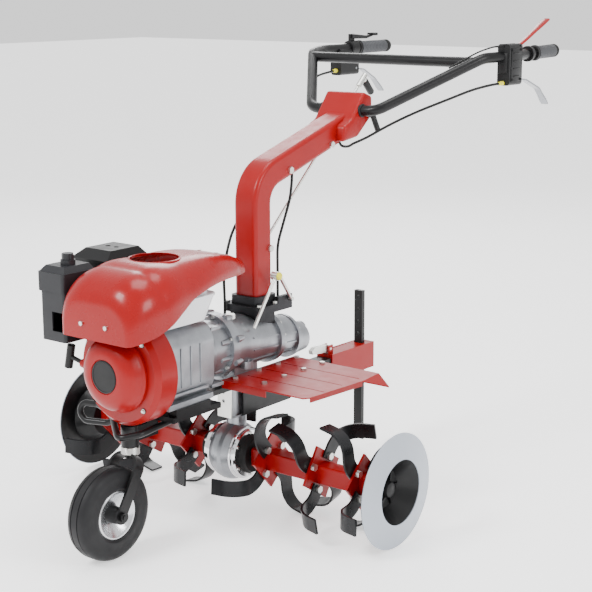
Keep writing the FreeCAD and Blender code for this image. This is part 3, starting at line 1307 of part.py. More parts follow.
def steering():
    NODES["column"] = column()
    NODES["column_base"] = column_base()
    NODES["column_head"] = column_head()
    NODES["handlebar"] = handlebar()
    NODES["hand_grips"] = both_sides(hand_grip())
    NODES["control_brackets"] = control_brackets()
    NODES["clutch_lever_left"] = clutch_lever(bar_point(720).x, LEFT_CLUTCH_PIVOT,
                                              [(793, 944), (862, 919), (907, 877)], LEFT_BRACKET_Y[1])
    NODES["clutch_lever_right"] = clutch_lever(-bar_point(806).x, RIGHT_CLUTCH_PIVOT,
                                               [(885, 946), (940, 918), (980, 882)], RIGHT_BRACKET_Y[1])
    NODES["stop_lever"] = stop_lever()
    NODES["throttle_lever"] = throttle_lever()
    NODES["clutch_cables"] = clutch_cables()
    NODES["column_cables"] = column_cables()
    NODES["selector_rod"] = selector_rod()
    NODES["shift_lever"] = shift_lever()
    NODES["height_knob"] = height_knob()


# ---- fasteners and export -------------------------------------------------------------------------
def around_y(y, z_axis, radius, degrees, out):
    """Bolt places on a circle square to Y."""
    turns = [math.radians(d) for d in degrees]
    return [((radius * math.cos(t), y, z_axis + radius * math.sin(t)), (0, out, 0)) for t in turns]


def bolt_sets():
    """Each set: (nodes that are drilled, places, head radius, head height, shank radius, shank length)."""
    up = (0, 0, 1)
    inner = [((s * 50, y, FENDER_Z), up) for s in (-1, 1) for y in FENDER_BOLTS_IN]
    outer = [((s * 128, y, FENDER_Z), up) for s in (-1, 1) for y in FENDER_BOLTS_OUT]
    base = [((s * 47.5, y, COLUMN_FOOT), up) for s in (-1, 1) for y in (37, 92)]
    post = [((COLUMN_X / 2, y, z), (1, 0, 0)) for y, z in ((170, 763), (328, 807), (95, 592))]
    cover = [((x, CASE_REAR + 14, z), (0, 1, 0)) for x in (-52, 52) for z in (328, 462)]
    bell = around_y(BELL_FRONT - 24, CRANK_Z, 67, [20, 80, 140, 200, 260, 320], -1)
    joint = around_y(BELL_JOINT + JOINT_HALF, JOINT_Z, JOINT_R - 4.6, [-8, 42, 138, 188, 228, 312], 1)
    gearcase = []
    for side in (-1, 1):
        for k in range(6):
            turn = math.radians(60 * k + 30)
            seat = (side * RING_END, 50 * math.cos(turn), AXLE_Z + 50 * math.sin(turn))
            gearcase.append((seat, (side, 0, 0)))
    hood_front = [((s * 35, HOOD_SECTIONS[0][0], 508), (0, -1, 0)) for s in (-1, 1)]
    hood_top = [((s * 25, -82, 605), up) for s in (-1, 1)]
    oil_plug = [((25, -38, 452), up)]
    return [
        (["fenders"], inner, 6.5, 5, 3, 8), (["fenders"], outer, 6.5, 5, 3, 2.5),
        (["column_base"], base, 6, 5, 3, 12), (["column"], post, 8, 6, 4, 2.5),
        (["crankcase_cover"], cover, 5.5, 5, 3, 12),
        (["crankcase_cover", "bell_housing"], bell, 4.5, 4, 2.5, 20),
        (["bell_housing", "gearbox_case"], joint, 4, 4, 2, 12),
        (["gearcase_rings", "rotor_gearcase"], gearcase, 3.8, 4, 2, 20),
        (["hood"], hood_front, 5, 4, 2, 2.5), (["hood"], hood_top, 5, 4, 2, 2.5),
        (["bell_housing"], oil_plug, 11, 10, 7, 6),
    ]


def fasteners():
    made = []
    for nodes, places, head_r, head_h, shank_r, shank_l in bolt_sets():
        for node in nodes:
            NODES[node] = group([drilled(NODES[node], places, head_r, shank_r, shank_l)])
        made += bolts(places, head_r, head_h, shank_r, shank_l)
    NODES["frame_bolts"] = group(made)


def export():
    os.makedirs("parts", exist_ok=True)
    boxes = [shape.optimalBoundingBox() for shape in NODES.values()]
    front, rear = min(b.YMin for b in boxes), max(b.YMax for b in boxes)
    middle = (front + rear) / 2
    low = min(b.ZMin for b in boxes)
    print("moved along Y by", round(-middle, 3), "and along Z by", round(-low, 3))
    for name, shape in NODES.items():
        shape.translate(Vector(0, -middle, -low))
        shape.exportStep("parts/" + name + ".step")
    print(len(NODES), "nodes")


rotor()
drive()
engine()
frame_parts()
steering()
fasteners()
export()
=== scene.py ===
import math

import bmesh
import bpy
from mathutils import Matrix, Vector


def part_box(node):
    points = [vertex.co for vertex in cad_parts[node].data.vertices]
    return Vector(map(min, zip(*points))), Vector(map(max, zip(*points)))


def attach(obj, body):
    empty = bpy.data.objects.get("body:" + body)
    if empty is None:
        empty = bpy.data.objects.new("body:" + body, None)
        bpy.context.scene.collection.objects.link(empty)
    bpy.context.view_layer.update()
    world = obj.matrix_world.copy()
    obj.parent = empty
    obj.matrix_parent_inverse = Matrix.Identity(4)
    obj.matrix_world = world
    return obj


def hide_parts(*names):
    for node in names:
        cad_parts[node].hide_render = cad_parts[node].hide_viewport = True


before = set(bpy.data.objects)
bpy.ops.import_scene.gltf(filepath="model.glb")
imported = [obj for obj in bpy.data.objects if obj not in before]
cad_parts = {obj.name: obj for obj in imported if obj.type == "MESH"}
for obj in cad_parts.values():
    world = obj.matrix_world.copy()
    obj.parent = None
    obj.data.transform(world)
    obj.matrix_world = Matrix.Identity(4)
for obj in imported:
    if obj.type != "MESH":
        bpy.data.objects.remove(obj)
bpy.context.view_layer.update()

# Looks of a walk-behind tiller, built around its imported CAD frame. Lengths in the code are millimetres
# measured from the floor point under the rotor axle; mm() turns them into the frame's metres.

bl_info = {
    "name": "Tiller looks",
    "version": (1, 0, 0),
    "blender": (4, 5, 0),
    "location": "View3D > Sidebar > Tiller",
    "description": "Builds materials, mouldings, castings and small parts of a walk-behind tiller",
    "category": "Object",
}

AXLE_LOW, AXLE_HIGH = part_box("rotor_axle")
AXLE_Y = (AXLE_LOW[1] + AXLE_HIGH[1]) / 2


def mm(x, y, z):
    """Point in the frame's metres from millimetres measured under the rotor axle."""
    return Vector((x / 1000, AXLE_Y + y / 1000, z / 1000))


# ---- settings -------------------------------------------------------------------------------------
class TillerSettings(bpy.types.PropertyGroup):
    red: bpy.props.FloatVectorProperty(
        name="Red paint", description="Colour of the painted sheet and the red mouldings",
        subtype="COLOR", size=3, default=(0.25, 0.0003, 0.0007))
    black: bpy.props.FloatVectorProperty(
        name="Black paint", description="Colour of the black frame parts",
        subtype="COLOR", size=3, default=(0.0035, 0.0035, 0.004))
    grip_ribs: bpy.props.IntProperty(
        name="Grip ribs", description="Ribs along each handlebar grip", default=16, min=4, max=40)
    floor_size: bpy.props.FloatProperty(
        name="Floor size", description="Length of the floor's side", default=40.0, unit="LENGTH")


def settings():
    return bpy.context.scene.tiller


# ---- materials ------------------------------------------------------------------------------------
def new_material(name, color, metallic, roughness, coat=0.0):
    mat = bpy.data.materials.new(name)
    mat.use_nodes = True
    bsdf = mat.node_tree.nodes["Principled BSDF"]
    bsdf.inputs["Base Color"].default_value = (*color, 1.0)
    bsdf.inputs["Metallic"].default_value = metallic
    bsdf.inputs["Roughness"].default_value = roughness
    bsdf.inputs["Coat Weight"].default_value = coat
    bsdf.inputs["Coat Roughness"].default_value = 0.06
    bsdf.inputs["Specular IOR Level"].default_value = 0.25
    return mat, bsdf


def add_node(mat, kind, **values):
    node = mat.node_tree.nodes.new(kind)
    for key, value in values.items():
        if key in node.inputs.keys():
            node.inputs[key].default_value = value
        else:
            setattr(node, key, value)
    return node


def object_noise(mat, scale, detail=3.0, stretch=(1, 1, 1)):
    """Noise in the object's own metres, so its grain keeps its real size."""
    place = add_node(mat, "ShaderNodeTexCoord")
    spread = add_node(mat, "ShaderNodeMapping")
    spread.inputs["Scale"].default_value = stretch
    grain = add_node(mat, "ShaderNodeTexNoise", Scale=scale, Detail=detail)
    mat.node_tree.links.new(place.outputs["Object"], spread.inputs["Vector"])
    mat.node_tree.links.new(spread.outputs["Vector"], grain.inputs["Vector"])
    return grain.outputs["Fac"]


def vary_roughness(mat, bsdf, source, low, high):
    span = add_node(mat, "ShaderNodeMapRange")
    span.inputs["From Min"].default_value = 0.3
    span.inputs["From Max"].default_value = 0.7
    span.inputs["To Min"].default_value = low
    span.inputs["To Max"].default_value = high
    mat.node_tree.links.new(source, span.inputs["Value"])
    mat.node_tree.links.new(span.outputs["Result"], bsdf.inputs["Roughness"])


def vary_color(mat, bsdf, source, dark, light):
    ramp = add_node(mat, "ShaderNodeValToRGB")
    ramp.color_ramp.elements[0].position = 0.3
    ramp.color_ramp.elements[1].position = 0.7
    ramp.color_ramp.elements[0].color = (*dark, 1)
    ramp.color_ramp.elements[1].color = (*light, 1)
    mat.node_tree.links.new(source, ramp.inputs["Fac"])
    mat.node_tree.links.new(ramp.outputs["Color"], bsdf.inputs["Base Color"])


def add_bump(mat, bsdf, source, height_mm, strength=1.0):
    bump = add_node(mat, "ShaderNodeBump")
    bump.inputs["Strength"].default_value = strength
    bump.inputs["Distance"].default_value = height_mm / 1000
    mat.node_tree.links.new(source, bump.inputs["Height"])
    mat.node_tree.links.new(bump.outputs["Normal"], bsdf.inputs["Normal"])


def scaled(color, factor):
    return tuple(min(1.0, c * factor) for c in color)


def grained(name, color, metallic, roughness, grain_per_m, height_mm, spread=0.12, coat=0.0,
            stretch=(1, 1, 1)):
    """Material with soft colour drift, uneven sheen and a fine surface grain."""
    mat, bsdf = new_material(name, color, metallic, roughness, coat)
    drift = object_noise(mat, 9.0, 4.0)
    vary_color(mat, bsdf, drift, scaled(color, 1 - spread), scaled(color, 1 + spread))
    sheen = object_noise(mat, 35.0, 5.0)
    vary_roughness(mat, bsdf, sheen, roughness * 0.82, min(1.0, roughness * 1.22))
    grain = object_noise(mat, grain_per_m, 2.0, stretch)
    add_bump(mat, bsdf, grain, height_mm)
    return mat


def cast_metal(name, color, roughness):
    """Sand-cast metal: coarse skin with finer pits."""
    mat, bsdf = new_material(name, color, 0.85, roughness)
    drift = object_noise(mat, 25.0, 5.0)
    vary_color(mat, bsdf, drift, scaled(color, 0.82), scaled(color, 1.12))
    skin = object_noise(mat, 700.0, 6.0)
    vary_roughness(mat, bsdf, skin, roughness * 0.85, roughness * 1.25)
    add_bump(mat, bsdf, skin, 0.35, 0.6)
    return mat


MATERIALS = {}
FINISHES = (                 # name, colour, metallic, roughness, grains per metre, grain height in mm,
                             # colour drift and coat
    ("blade_paint", (0.006, 0.0064, 0.0075), 0.2, 0.3, 420.0, 0.05, 0.2, 0.0),
    ("tank_paint", (0.66, 0.67, 0.69), 0.05, 0.3, 300.0, 0.02, 0.05, 0.3),
    ("steel", (0.52, 0.52, 0.53), 1.0, 0.3, 900.0, 0.02, 0.12, 0.0),
    ("zinc", (0.66, 0.66, 0.63), 1.0, 0.34, 600.0, 0.02, 0.12, 0.0),
    ("chrome", (0.72, 0.72, 0.74), 1.0, 0.12, 200.0, 0.008, 0.05, 0.0),
    ("disc_metal", (0.36, 0.39, 0.44), 0.25, 0.36, 500.0, 0.03, 0.05, 0.0),
    ("rubber", (0.008, 0.008, 0.008), 0.0, 0.62, 800.0, 0.08, 0.2, 0.0),
    ("tyre", (0.007, 0.007, 0.008), 0.0, 0.5, 650.0, 0.1, 0.25, 0.0),
    ("black_moulding", (0.007, 0.007, 0.0075), 0.0, 0.42, 1100.0, 0.06, 0.15, 0.0),
    ("grey_moulding", (0.018, 0.0185, 0.021), 0.0, 0.34, 900.0, 0.04, 0.12, 0.0),
    ("silver_moulding", (0.62, 0.63, 0.65), 0.9, 0.22, 700.0, 0.02, 0.06, 0.0),
    ("lever_metal", (0.30, 0.31, 0.33), 0.75, 0.26, 500.0, 0.02, 0.06, 0.3),
    ("cable", (0.006, 0.006, 0.006), 0.0, 0.45, 1500.0, 0.03, 0.1, 0.0),
    ("yellow_cap", (0.66, 0.60, 0.03), 0.0, 0.4, 500.0, 0.02, 0.05, 0.0),
    # painted shade: flat black that stands in for the shade in hollows and gaps
    ("slot_black", (0.004, 0.004, 0.004), 0.0, 0.8, 400.0, 0.02, 0.1, 0.0),
    ("grip_grey", (0.055, 0.057, 0.062), 0.0, 0.5, 900.0, 0.05, 0.15, 0.0),
    ("exhaust", (0.014, 0.0135, 0.013), 0.3, 0.6, 500.0, 0.1, 0.3, 0.0),
)
PAINTS = (                   # the same, for finishes whose colour is one of the settings
    ("red_paint", "red", 0.0, 0.34, 260.0, 0.012, 0.05, 0.06),
    ("red_moulding", "red", 0.0, 0.26, 200.0, 0.008, 0.04, 0.10),
    ("black_paint", "black", 0.0, 0.36, 900.0, 0.05, 0.15, 0.05),
)
CASTINGS = (                 # name, colour and roughness
    ("cast_alloy", (0.30, 0.31, 0.33), 0.32),
    ("dark_casting", (0.035, 0.035, 0.038), 0.5),
)


def build_materials():
    for name, setting, *rest in PAINTS:
        MATERIALS[name] = grained(name, tuple(getattr(settings(), setting)), *rest)
    for name, color, *rest in FINISHES:
        MATERIALS[name] = grained(name, color, *rest)
    for name, color, roughness in CASTINGS:
        MATERIALS[name] = cast_metal(name, color, roughness)


NODE_MATERIALS = {
    "red_paint": ("fan_cover", "tine_tubes", "fenders", "hitch_bracket", "column", "column_head",
                  "recoil_cover"),
    "red_moulding": ("hood", "stop_lever"),
    "black_paint": ("front_frame", "hitch_plate", "bumper", "wheel_fork", "drag_stake", "handlebar",
                    "muffler_guard", "guard_dishes"),
    "blade_paint": ("inner_tines", "middle_tines", "outer_tines"),
    "cast_alloy": ("crankcase", "crankcase_cover", "bell_housing", "gearbox_case", "drive_leg",
                   "rotor_gearcase"),
    "dark_casting": ("column_base",),
    "tank_paint": ("fuel_tank",),
    "steel": ("rotor_axle", "axle_gear", "leg_shaft", "input_shaft", "crankshaft", "flywheel", "piston"),
    "zinc": ("tine_bolts", "frame_bolts", "leg_plate", "selector_rod", "shift_lever", "hitch_lever"),
    "chrome": ("gearcase_rings",),
    "disc_metal": ("guard_plates",),
    "rubber": ("rubber_seals", "hand_grips"),
    "tyre": ("wheel_tyre",),
    "black_moulding": ("control_brackets", "throttle_lever", "height_knob", "fuel_cap", "starter_grip"),
    "grey_moulding": ("air_cleaner_base", "air_cleaner_cover", "air_cleaner_knob"),
    "silver_moulding": ("wheel_rim",),
    "lever_metal": ("clutch_lever_left", "clutch_lever_right"),
    "cable": ("clutch_cables", "column_cables"),
    "exhaust": ("muffler",),
}


def paint(obj, name):
    obj.data.materials.clear()
    obj.data.materials.append(MATERIALS[name])


def paint_nodes():
    for name, nodes in NODE_MATERIALS.items():
        for node in nodes:
            paint(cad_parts[node], name)


# ---- mesh helpers ---------------------------------------------------------------------------------
MERGE_DISTANCE = 0.00002     # metres


def finish_mesh(name, bm, material, body, sharp=35.0):
    """Object from a working mesh, painted, smooth below the given angle and riding on its body."""
    bmesh.ops.remove_doubles(bm, verts=bm.verts, dist=MERGE_DISTANCE)
    bmesh.ops.recalc_face_normals(bm, faces=bm.faces)
    mesh = bpy.data.meshes.new(name)
    bm.to_mesh(mesh)
    bm.free()
    mesh.polygons.foreach_set("use_smooth", [True] * len(mesh.polygons))
    mesh.set_sharp_from_angle(angle=math.radians(sharp))
    mesh.materials.append(MATERIALS[material])
    obj = bpy.data.objects.new(name, mesh)
    bpy.context.collection.objects.link(obj)
    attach(obj, body)
    return obj


def skin_rings(bm, rings, closed=False):
    """Faces between neighbouring rings of points; closed joins the last ring to the first."""
    made = [[bm.verts.new(mm(*point)) for point in ring] for ring in rings]
    pairs = list(zip(made, made[1:]))
    if closed:
        pairs.append((made[-1], made[0]))
    for near, far in pairs:
        for k in range(len(near)):
            after = (k + 1) % len(near)
            bm.faces.new((near[k], near[after], far[after], far[k]))
    return made


def ring_points(centre, axis, radius, steps, start=0.0):
    side = axis.orthogonal().normalized()
    other = axis.cross(side)
    points = []
    for k in range(steps):
        turn = start + 2 * math.pi * k / steps
        points.append(centre + (side * math.cos(turn) + other * math.sin(turn)) * radius)
    return points


LEAST_RADIUS = 0.001         # stands for a point on the axis of a turned shape


def add_lathe(bm, origin, axis, profile, steps=64, closed=False):
    """Turned shape: the profile is (distance along the axis, radius)."""
    origin, axis = Vector(origin), Vector(axis).normalized()
    rings = []
    for along, radius in profile:
        rings.append(ring_points(origin + axis * along, axis, max(radius, LEAST_RADIUS), steps))
    skin_rings(bm, rings, closed)


def add_tube(bm, points, radius, steps=14):
    """Round bar through the points, capped at both ends."""
    points = [Vector(p) for p in points]
    rings = []
    side = None
    for k, point in enumerate(points):
        ahead = (points[min(k + 1, len(points) - 1)] - points[max(k - 1, 0)]).normalized()
        side = ahead.orthogonal() if side is None else side - ahead * side.dot(ahead)
        side.normalize()
        other = ahead.cross(side)
        turns = [2 * math.pi * n / steps for n in range(steps)]
        rings.append([point + (side * math.cos(t) + other * math.sin(t)) * radius for t in turns])
    made = skin_rings(bm, rings)
    bm.faces.new(made[0])
    bm.faces.new(list(reversed(made[-1])))


def smooth_line(points, steps):
    """Points along a soft curve through the given points."""
    line = []
    for k in range(len(points) - 1):
        before, low = points[max(k - 1, 0)], points[k]
        high, after = points[k + 1], points[min(k + 2, len(points) - 1)]
        for n in range(steps):
            t = n / steps
            square, cube = t * t, t * t * t
            bend = 2 * before - 5 * low + 4 * high - after
            twist = 3 * low - before - 3 * high + after
            line.append(0.5 * ((2 * low) + (high - before) * t + bend * square + twist * cube))
    line.append(points[-1])
    return line


def add_box(bm, low, high, bevel=0.0):
    """Box between two corners with softened edges."""
    low, high = Vector(low), Vector(high)
    verts = bmesh.ops.create_cube(bm, size=1.0)["verts"]
    middle, size = (low + high) / 2, high - low
    for vert in verts:
        vert.co = mm(*(middle + Vector(a * b for a, b in zip(vert.co, size))))
    if bevel:
        edges = list({edge for vert in verts for edge in vert.link_edges})
        bmesh.ops.bevel(bm, geom=edges, offset=bevel / 1000, segments=2, affect="EDGES", profile=0.5)


def add_prism(bm, loop, push, bevel=0.0):
    """Flat outline pushed along a direction, with softened edges."""
    push = Vector(push)
    near = [bm.verts.new(mm(*p)) for p in loop]
    far = [bm.verts.new(mm(*(Vector(p) + push))) for p in loop]
    faces = [bm.faces.new(near), bm.faces.new(list(reversed(far)))]
    for k in range(len(near)):
        after = (k + 1) % len(near)
        faces.append(bm.faces.new((near[after], near[k], far[k], far[after])))
    if bevel:
        edges = list({edge for face in faces for edge in face.edges})
        bmesh.ops.bevel(bm, geom=edges, offset=bevel / 1000, segments=2, affect="EDGES", profile=0.5)


def add_bolt(bm, place, out, radius, height):
    """Hexagon head with a chamfer on a round washer."""
    add_lathe(bm, place, out, [(0, 0), (0, radius * 1.35), (1.2, radius * 1.35), (1.2, 0)], 24)
    add_lathe(bm, place, out, [(1.2, 0), (1.2, radius), (height * 0.8, radius), (height, radius * 0.86),
                               (height, 0)], 6)


def add_socket_screw(bm, place, out, radius, height):
    add_lathe(bm, place, out, [(0, 0), (0, radius), (height * 0.85, radius), (height, radius * 0.9),
                               (height, radius * 0.5), (height * 0.3, radius * 0.45), (height * 0.3, 0)], 20)


def eased(table, at, column):
    """Smooth value from rows of (position, values...), by cubic steps between the rows."""
    rows = sorted(table)
    if at <= rows[0][0]:
        return rows[0][column]
    if at >= rows[-1][0]:
        return rows[-1][column]
    k = max(n for n, row in enumerate(rows[:-1]) if row[0] <= at)
    before, low, high, after = rows[max(k - 1, 0)], rows[k], rows[k + 1], rows[min(k + 2, len(rows) - 1)]
    span = high[0] - low[0]
    share = (at - low[0]) / span
    lead = (high[column] - before[column]) / (high[0] - before[0]) * span
    trail = (after[column] - low[column]) / (after[0] - low[0]) * span
    square, cube = share * share, share * share * share
    return ((2 * cube - 3 * square + 1) * low[column] + (cube - 2 * square + share) * lead
            + (3 * square - 2 * cube) * high[column] + (cube - square) * trail)


# ---- hood -----------------------------------------------------------------------------------------
HOOD_SECTIONS = (            # (y, half width, top z, corner radius), inside the CAD hood
    (-430.0, 86.0, 548.0, 58.0), (-345.0, 121.0, 613.0, 80.0), (-250.0, 112.0, 618.5, 70.0),
    (-150.0, 92.0, 618.0, 54.0), (-60.0, 66.0, 602.0, 38.0), (-8.0, 44.0, 584.0, 26.0),
)
HOOD_EDGE = (                # lower edge, as (y, z)
    (-430.0, 475.8), (-404.0, 482.0), (-364.0, 492.0), (-330.0, 505.0), (-288.0, 528.0),
    (-240.0, 549.0), (-140.0, 561.0), (-20.0, 555.0), (-8.0, 555.0),
)
HOOD_HOLE_Y = -250.0
HOOD_HOLE_R = 52.0
HOOD_SKIN = 3.0
NOSE_ROWS = 18


def hood_row(y, half, top, radius):
    """Points of one arch from the left lower edge over the top to the right one."""
    edge = eased(HOOD_EDGE, y, 1)
    side = [(-half, edge + (top - radius - edge) * k / 6) for k in range(6)]
    corner = []
    for k in range(13):
        turn = math.pi / 2 * k / 12
        corner.append((-half + radius * (1 - math.cos(turn)), top - radius * (1 - math.sin(turn))))
    left = side + corner
    flat = [(-half + radius + (half - radius) * k / 5, top) for k in range(1, 5)]
    right = [(-x, z) for x, z in reversed(left + flat)]
    return [(x, y, z) for x, z in left + flat + [(0.0, top)] + right]


def hood_rows():
    """Rows of the hood: a rounded nose first, then the long smooth top."""
    nose, brow = HOOD_SECTIONS[0], HOOD_SECTIONS[1]
    rows = []
    for k in range(NOSE_ROWS):
        turn = math.pi / 2 * k / NOSE_ROWS
        back, grow = 1 - math.cos(turn), math.sin(turn)
        values = [a + (b - a) * grow for a, b in zip(nose[1:], brow[1:])]
        rows.append(hood_row(nose[0] + (brow[0] - nose[0]) * back, *values))
    y = brow[0]
    while y < HOOD_SECTIONS[-1][0]:
        rows.append(hood_row(y, *(eased(HOOD_SECTIONS, y, column) for column in (1, 2, 3))))
        y += 8.0
    rows.append(hood_row(*HOOD_SECTIONS[-1]))
    return rows


def cut_round_hole(obj, place, direction, radius, length):
    """Cuts a round hole through an object with a cylinder that is removed again."""
    bm = bmesh.new()
    add_lathe(bm, place, direction, [(0, 0), (0, radius), (length, radius), (length, 0)], 96)
    bmesh.ops.remove_doubles(bm, verts=bm.verts, dist=MERGE_DISTANCE)
    bmesh.ops.recalc_face_normals(bm, faces=bm.faces)
    mesh = bpy.data.meshes.new("cutter")
    bm.to_mesh(mesh)
    bm.free()
    cutter = bpy.data.objects.new("cutter", mesh)
    bpy.context.collection.objects.link(cutter)
    step = obj.modifiers.new("hole", "BOOLEAN")
    step.operation = "DIFFERENCE"
    step.object = cutter
    ready = obj.evaluated_get(bpy.context.evaluated_depsgraph_get())
    cut = bpy.data.meshes.new_from_object(ready)
    obj.modifiers.clear()
    obj.data = cut
    bpy.data.objects.remove(cutter)


def build_hood():
    bm = bmesh.new()
    made = [[bm.verts.new(mm(*p)) for p in row] for row in hood_rows()]
    for near, far in zip(made, made[1:]):
        for k in range(len(near) - 1):
            bm.faces.new((near[k], near[k + 1], far[k + 1], far[k]))
    bm.faces.new(made[0])
    bmesh.ops.recalc_face_normals(bm, faces=bm.faces)
    bmesh.ops.solidify(bm, geom=bm.faces[:], thickness=HOOD_SKIN / 1000)
    shell = finish_mesh("hood_shell", bm, "red_moulding", "chassis", 40.0)
    cut_round_hole(shell, (0, HOOD_HOLE_Y, 590), (0, 0, 1), HOOD_HOLE_R, 60)
    bm = bmesh.new()
    lip = [(-1.0, HOOD_HOLE_R), (2.2, HOOD_HOLE_R), (3.0, HOOD_HOLE_R + 1.5), (2.2, HOOD_HOLE_R + 4),
           (-0.6, HOOD_HOLE_R + 6)]
    add_lathe(bm, (0, HOOD_HOLE_Y, 618), (0, 0, 1), lip, 96)
    finish_mesh("hood_rim", bm, "red_moulding", "chassis")
    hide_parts("hood")


# ---- starter cover --------------------------------------------------------------------------------
STARTER_FRONT = -365.0
SEAT_R = 99.0                # circle of the screw seats round the starter cover
CRANK_Z = 395.0


def build_starter():
    """Domed starter cover with a bare round badge, and the screw seats of the fan cover round it, their
    hollows given painted shade by flat black rings.
    """
    origin, out = (0, STARTER_FRONT, CRANK_Z), (0, -1, 0)
    bm = bmesh.new()
    add_lathe(bm, origin, out, [
        (0, 84), (6, 84), (9, 81.5), (12, 80), (24, 76), (32, 70), (38, 62), (41.5, 53), (43, 44),
        (43, 37), (40.5, 35.5), (40.5, 0)], 128)
    cover = finish_mesh("starter_cover", bm, "red_paint", "chassis", 30.0)
    bm = bmesh.new()
    add_lathe(bm, origin, out, [(40.4, 0), (40.4, 34.6), (42.4, 34.6), (43, 33.6), (43, 31.5), (42.2, 31),
                                (42.6, 0)], 96)
    finish_mesh("starter_badge", bm, "black_moulding", "chassis")
    # Painted shade: flat black rings stand in for the shade inside the screw seats.
    bm = bmesh.new()
    for k in range(4):
        turn = math.pi / 4 + math.pi / 2 * k
        seat = Vector((SEAT_R * math.cos(turn), STARTER_FRONT, CRANK_Z + SEAT_R * math.sin(turn)))
        add_lathe(bm, seat, out, [(0.2, 0), (0.2, 6.5), (0.6, 6.5), (0.6, 5.2), (0.3, 4.8), (0.3, 0)], 32)
    finish_mesh("starter_hollows", bm, "slot_black", "chassis")
    bm = bmesh.new()
    for k in (0, 3):
        turn = math.pi / 4 + math.pi / 2 * k
        seat = Vector((SEAT_R * math.cos(turn), STARTER_FRONT, CRANK_Z + SEAT_R * math.sin(turn)))
        add_bolt(bm, seat, out, 3.6, 5)
    finish_mesh("starter_screws", bm, "zinc", "chassis")
    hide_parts("recoil_cover")


# ---- transport wheel ------------------------------------------------------------------------------
WHEEL_PLACE = (0.0, -406.0, 100.0)
WHEEL_R = 100.0
WHEEL_HALF = 29.0
RIM_R = 52.0


def build_wheel():
    """Round-shouldered solid tyre on a polished cone rim with a dark hub cap."""
    bm = bmesh.new()
    half = WHEEL_HALF
    side = [(half - 4, RIM_R), (half, RIM_R + 6), (half, RIM_R + 12), (half - 0.8, RIM_R + 14),
            (half - 0.8, WHEEL_R - 22), (half - 1.6, WHEEL_R - 14), (half - 4.5, WHEEL_R - 7),
            (half - 9.5, WHEEL_R - 2.5), (half - 16, WHEEL_R - 0.6)]
    tread = []
    for x in (10.5, 9.6, 8.6, 7.6):
        tread.append((x, WHEEL_R - (0.0 if x in (10.5, 7.6) else 2.0)))
    profile = side + tread
    profile += [(-x, radius) for x, radius in reversed(profile)]
    add_lathe(bm, WHEEL_PLACE, (1, 0, 0), profile, 128, closed=True)
    tyre = finish_mesh("wheel_tyre_round", bm, "tyre", "front_wheel", 28.0)
    bm = bmesh.new()
    face = [(half - 4, RIM_R + 0.2), (half - 2.5, RIM_R - 1.5), (half - 3, RIM_R - 4), (half - 7, RIM_R - 7),
            (12, 28), (8, 22), (7, 19)]
    rim = face + [(-x, radius) for x, radius in reversed(face)]
    add_lathe(bm, WHEEL_PLACE, (1, 0, 0), rim, 128, closed=True)
    rims = finish_mesh("wheel_rim_cone", bm, "silver_moulding", "front_wheel", 28.0)
    bm = bmesh.new()
    cap = [(-half - 4, 6.2), (-half - 4, 15), (-half - 1, 17), (-8, 19.5), (8, 19.5), (half + 1, 17),
           (half + 4, 15), (half + 4, 6.2)]
    add_lathe(bm, WHEEL_PLACE, (1, 0, 0), cap, 64, closed=True)
    finish_mesh("wheel_hub", bm, "black_moulding", "front_wheel")
    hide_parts("wheel_tyre")
    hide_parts("wheel_rim")


# ---- handlebar grips ------------------------------------------------------------------------------
GRIP_START = (272.9, 862.0, 1006.65)
GRIP_END = (263.0, 985.0, 1008.0)
GRIP_R = 17.0


def build_grips():
    """Ribbed soft grips with a collar at the front and a bulging end cap."""
    for side, name in ((1, "grip_left"), (-1, "grip_right")):
        start = Vector((side * GRIP_START[0], GRIP_START[1], GRIP_START[2]))
        end = Vector((side * GRIP_END[0], GRIP_END[1], GRIP_END[2]))
        length = (end - start).length
        profile = [(0.2, 13.0), (0.2, GRIP_R + 2.6), (4.5, GRIP_R + 2.8), (6.5, GRIP_R - 1)]
        ribs = settings().grip_ribs
        pitch = (length - 22) / ribs
        for k in range(ribs):
            base = 8 + pitch * k
            profile += [(base, GRIP_R - 1.6), (base + pitch * 0.2, GRIP_R - 0.3),
                        (base + pitch * 0.75, GRIP_R - 0.3)]
        profile += [(length - 13, GRIP_R - 2)]
        bm = bmesh.new()
        add_lathe(bm, start, end - start, profile, 48)
        finish_mesh(name, bm, "grip_grey", "bar", 30.0)
        bm = bmesh.new()
        cap = [(length - 13, GRIP_R - 2), (length - 11, GRIP_R), (length - 2, GRIP_R),
               (length + 3, GRIP_R - 2.5), (length + 5.8, GRIP_R - 8), (length + 6, 0)]
        add_lathe(bm, start, end - start, cap, 48)
        finish_mesh(name + "_cap", bm, "rubber", "bar", 50.0)
    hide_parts("hand_grips")


# ---- castings -------------------------------------------------------------------------------------
AXLE_Z = 130.0
CASE_HALF = 82.0
CASE_REAR = -170.0
FLANGE_Y, FLANGE_R = -56.0, 72.0
FLANGE_START = 0.3          # turn of the first bolt round the clutch flange, in radians
JOINT_Y, JOINT_Z, JOINT_R = 110.0, 377.0, 60.0
BELL_END, COVER_Z, COVER_R = 186.2, 365.0, 52.0
GEARBOX_SPANS = (            # front and rear (y, z, radius) of each half of the gearbox
    (0, 389, 62.5, 102, 378, 53), (118, 376, 51.5, 176, 370, 45.8),
)


def ring_spots(y, z, radius, count, start=0.0):
    """Evenly spaced points round a joint that faces along the machine."""
    turns = [start + 2 * math.pi * k / count for k in range(count)]
    return [Vector((radius * math.cos(t), y, z + radius * math.sin(t))) for t in turns]


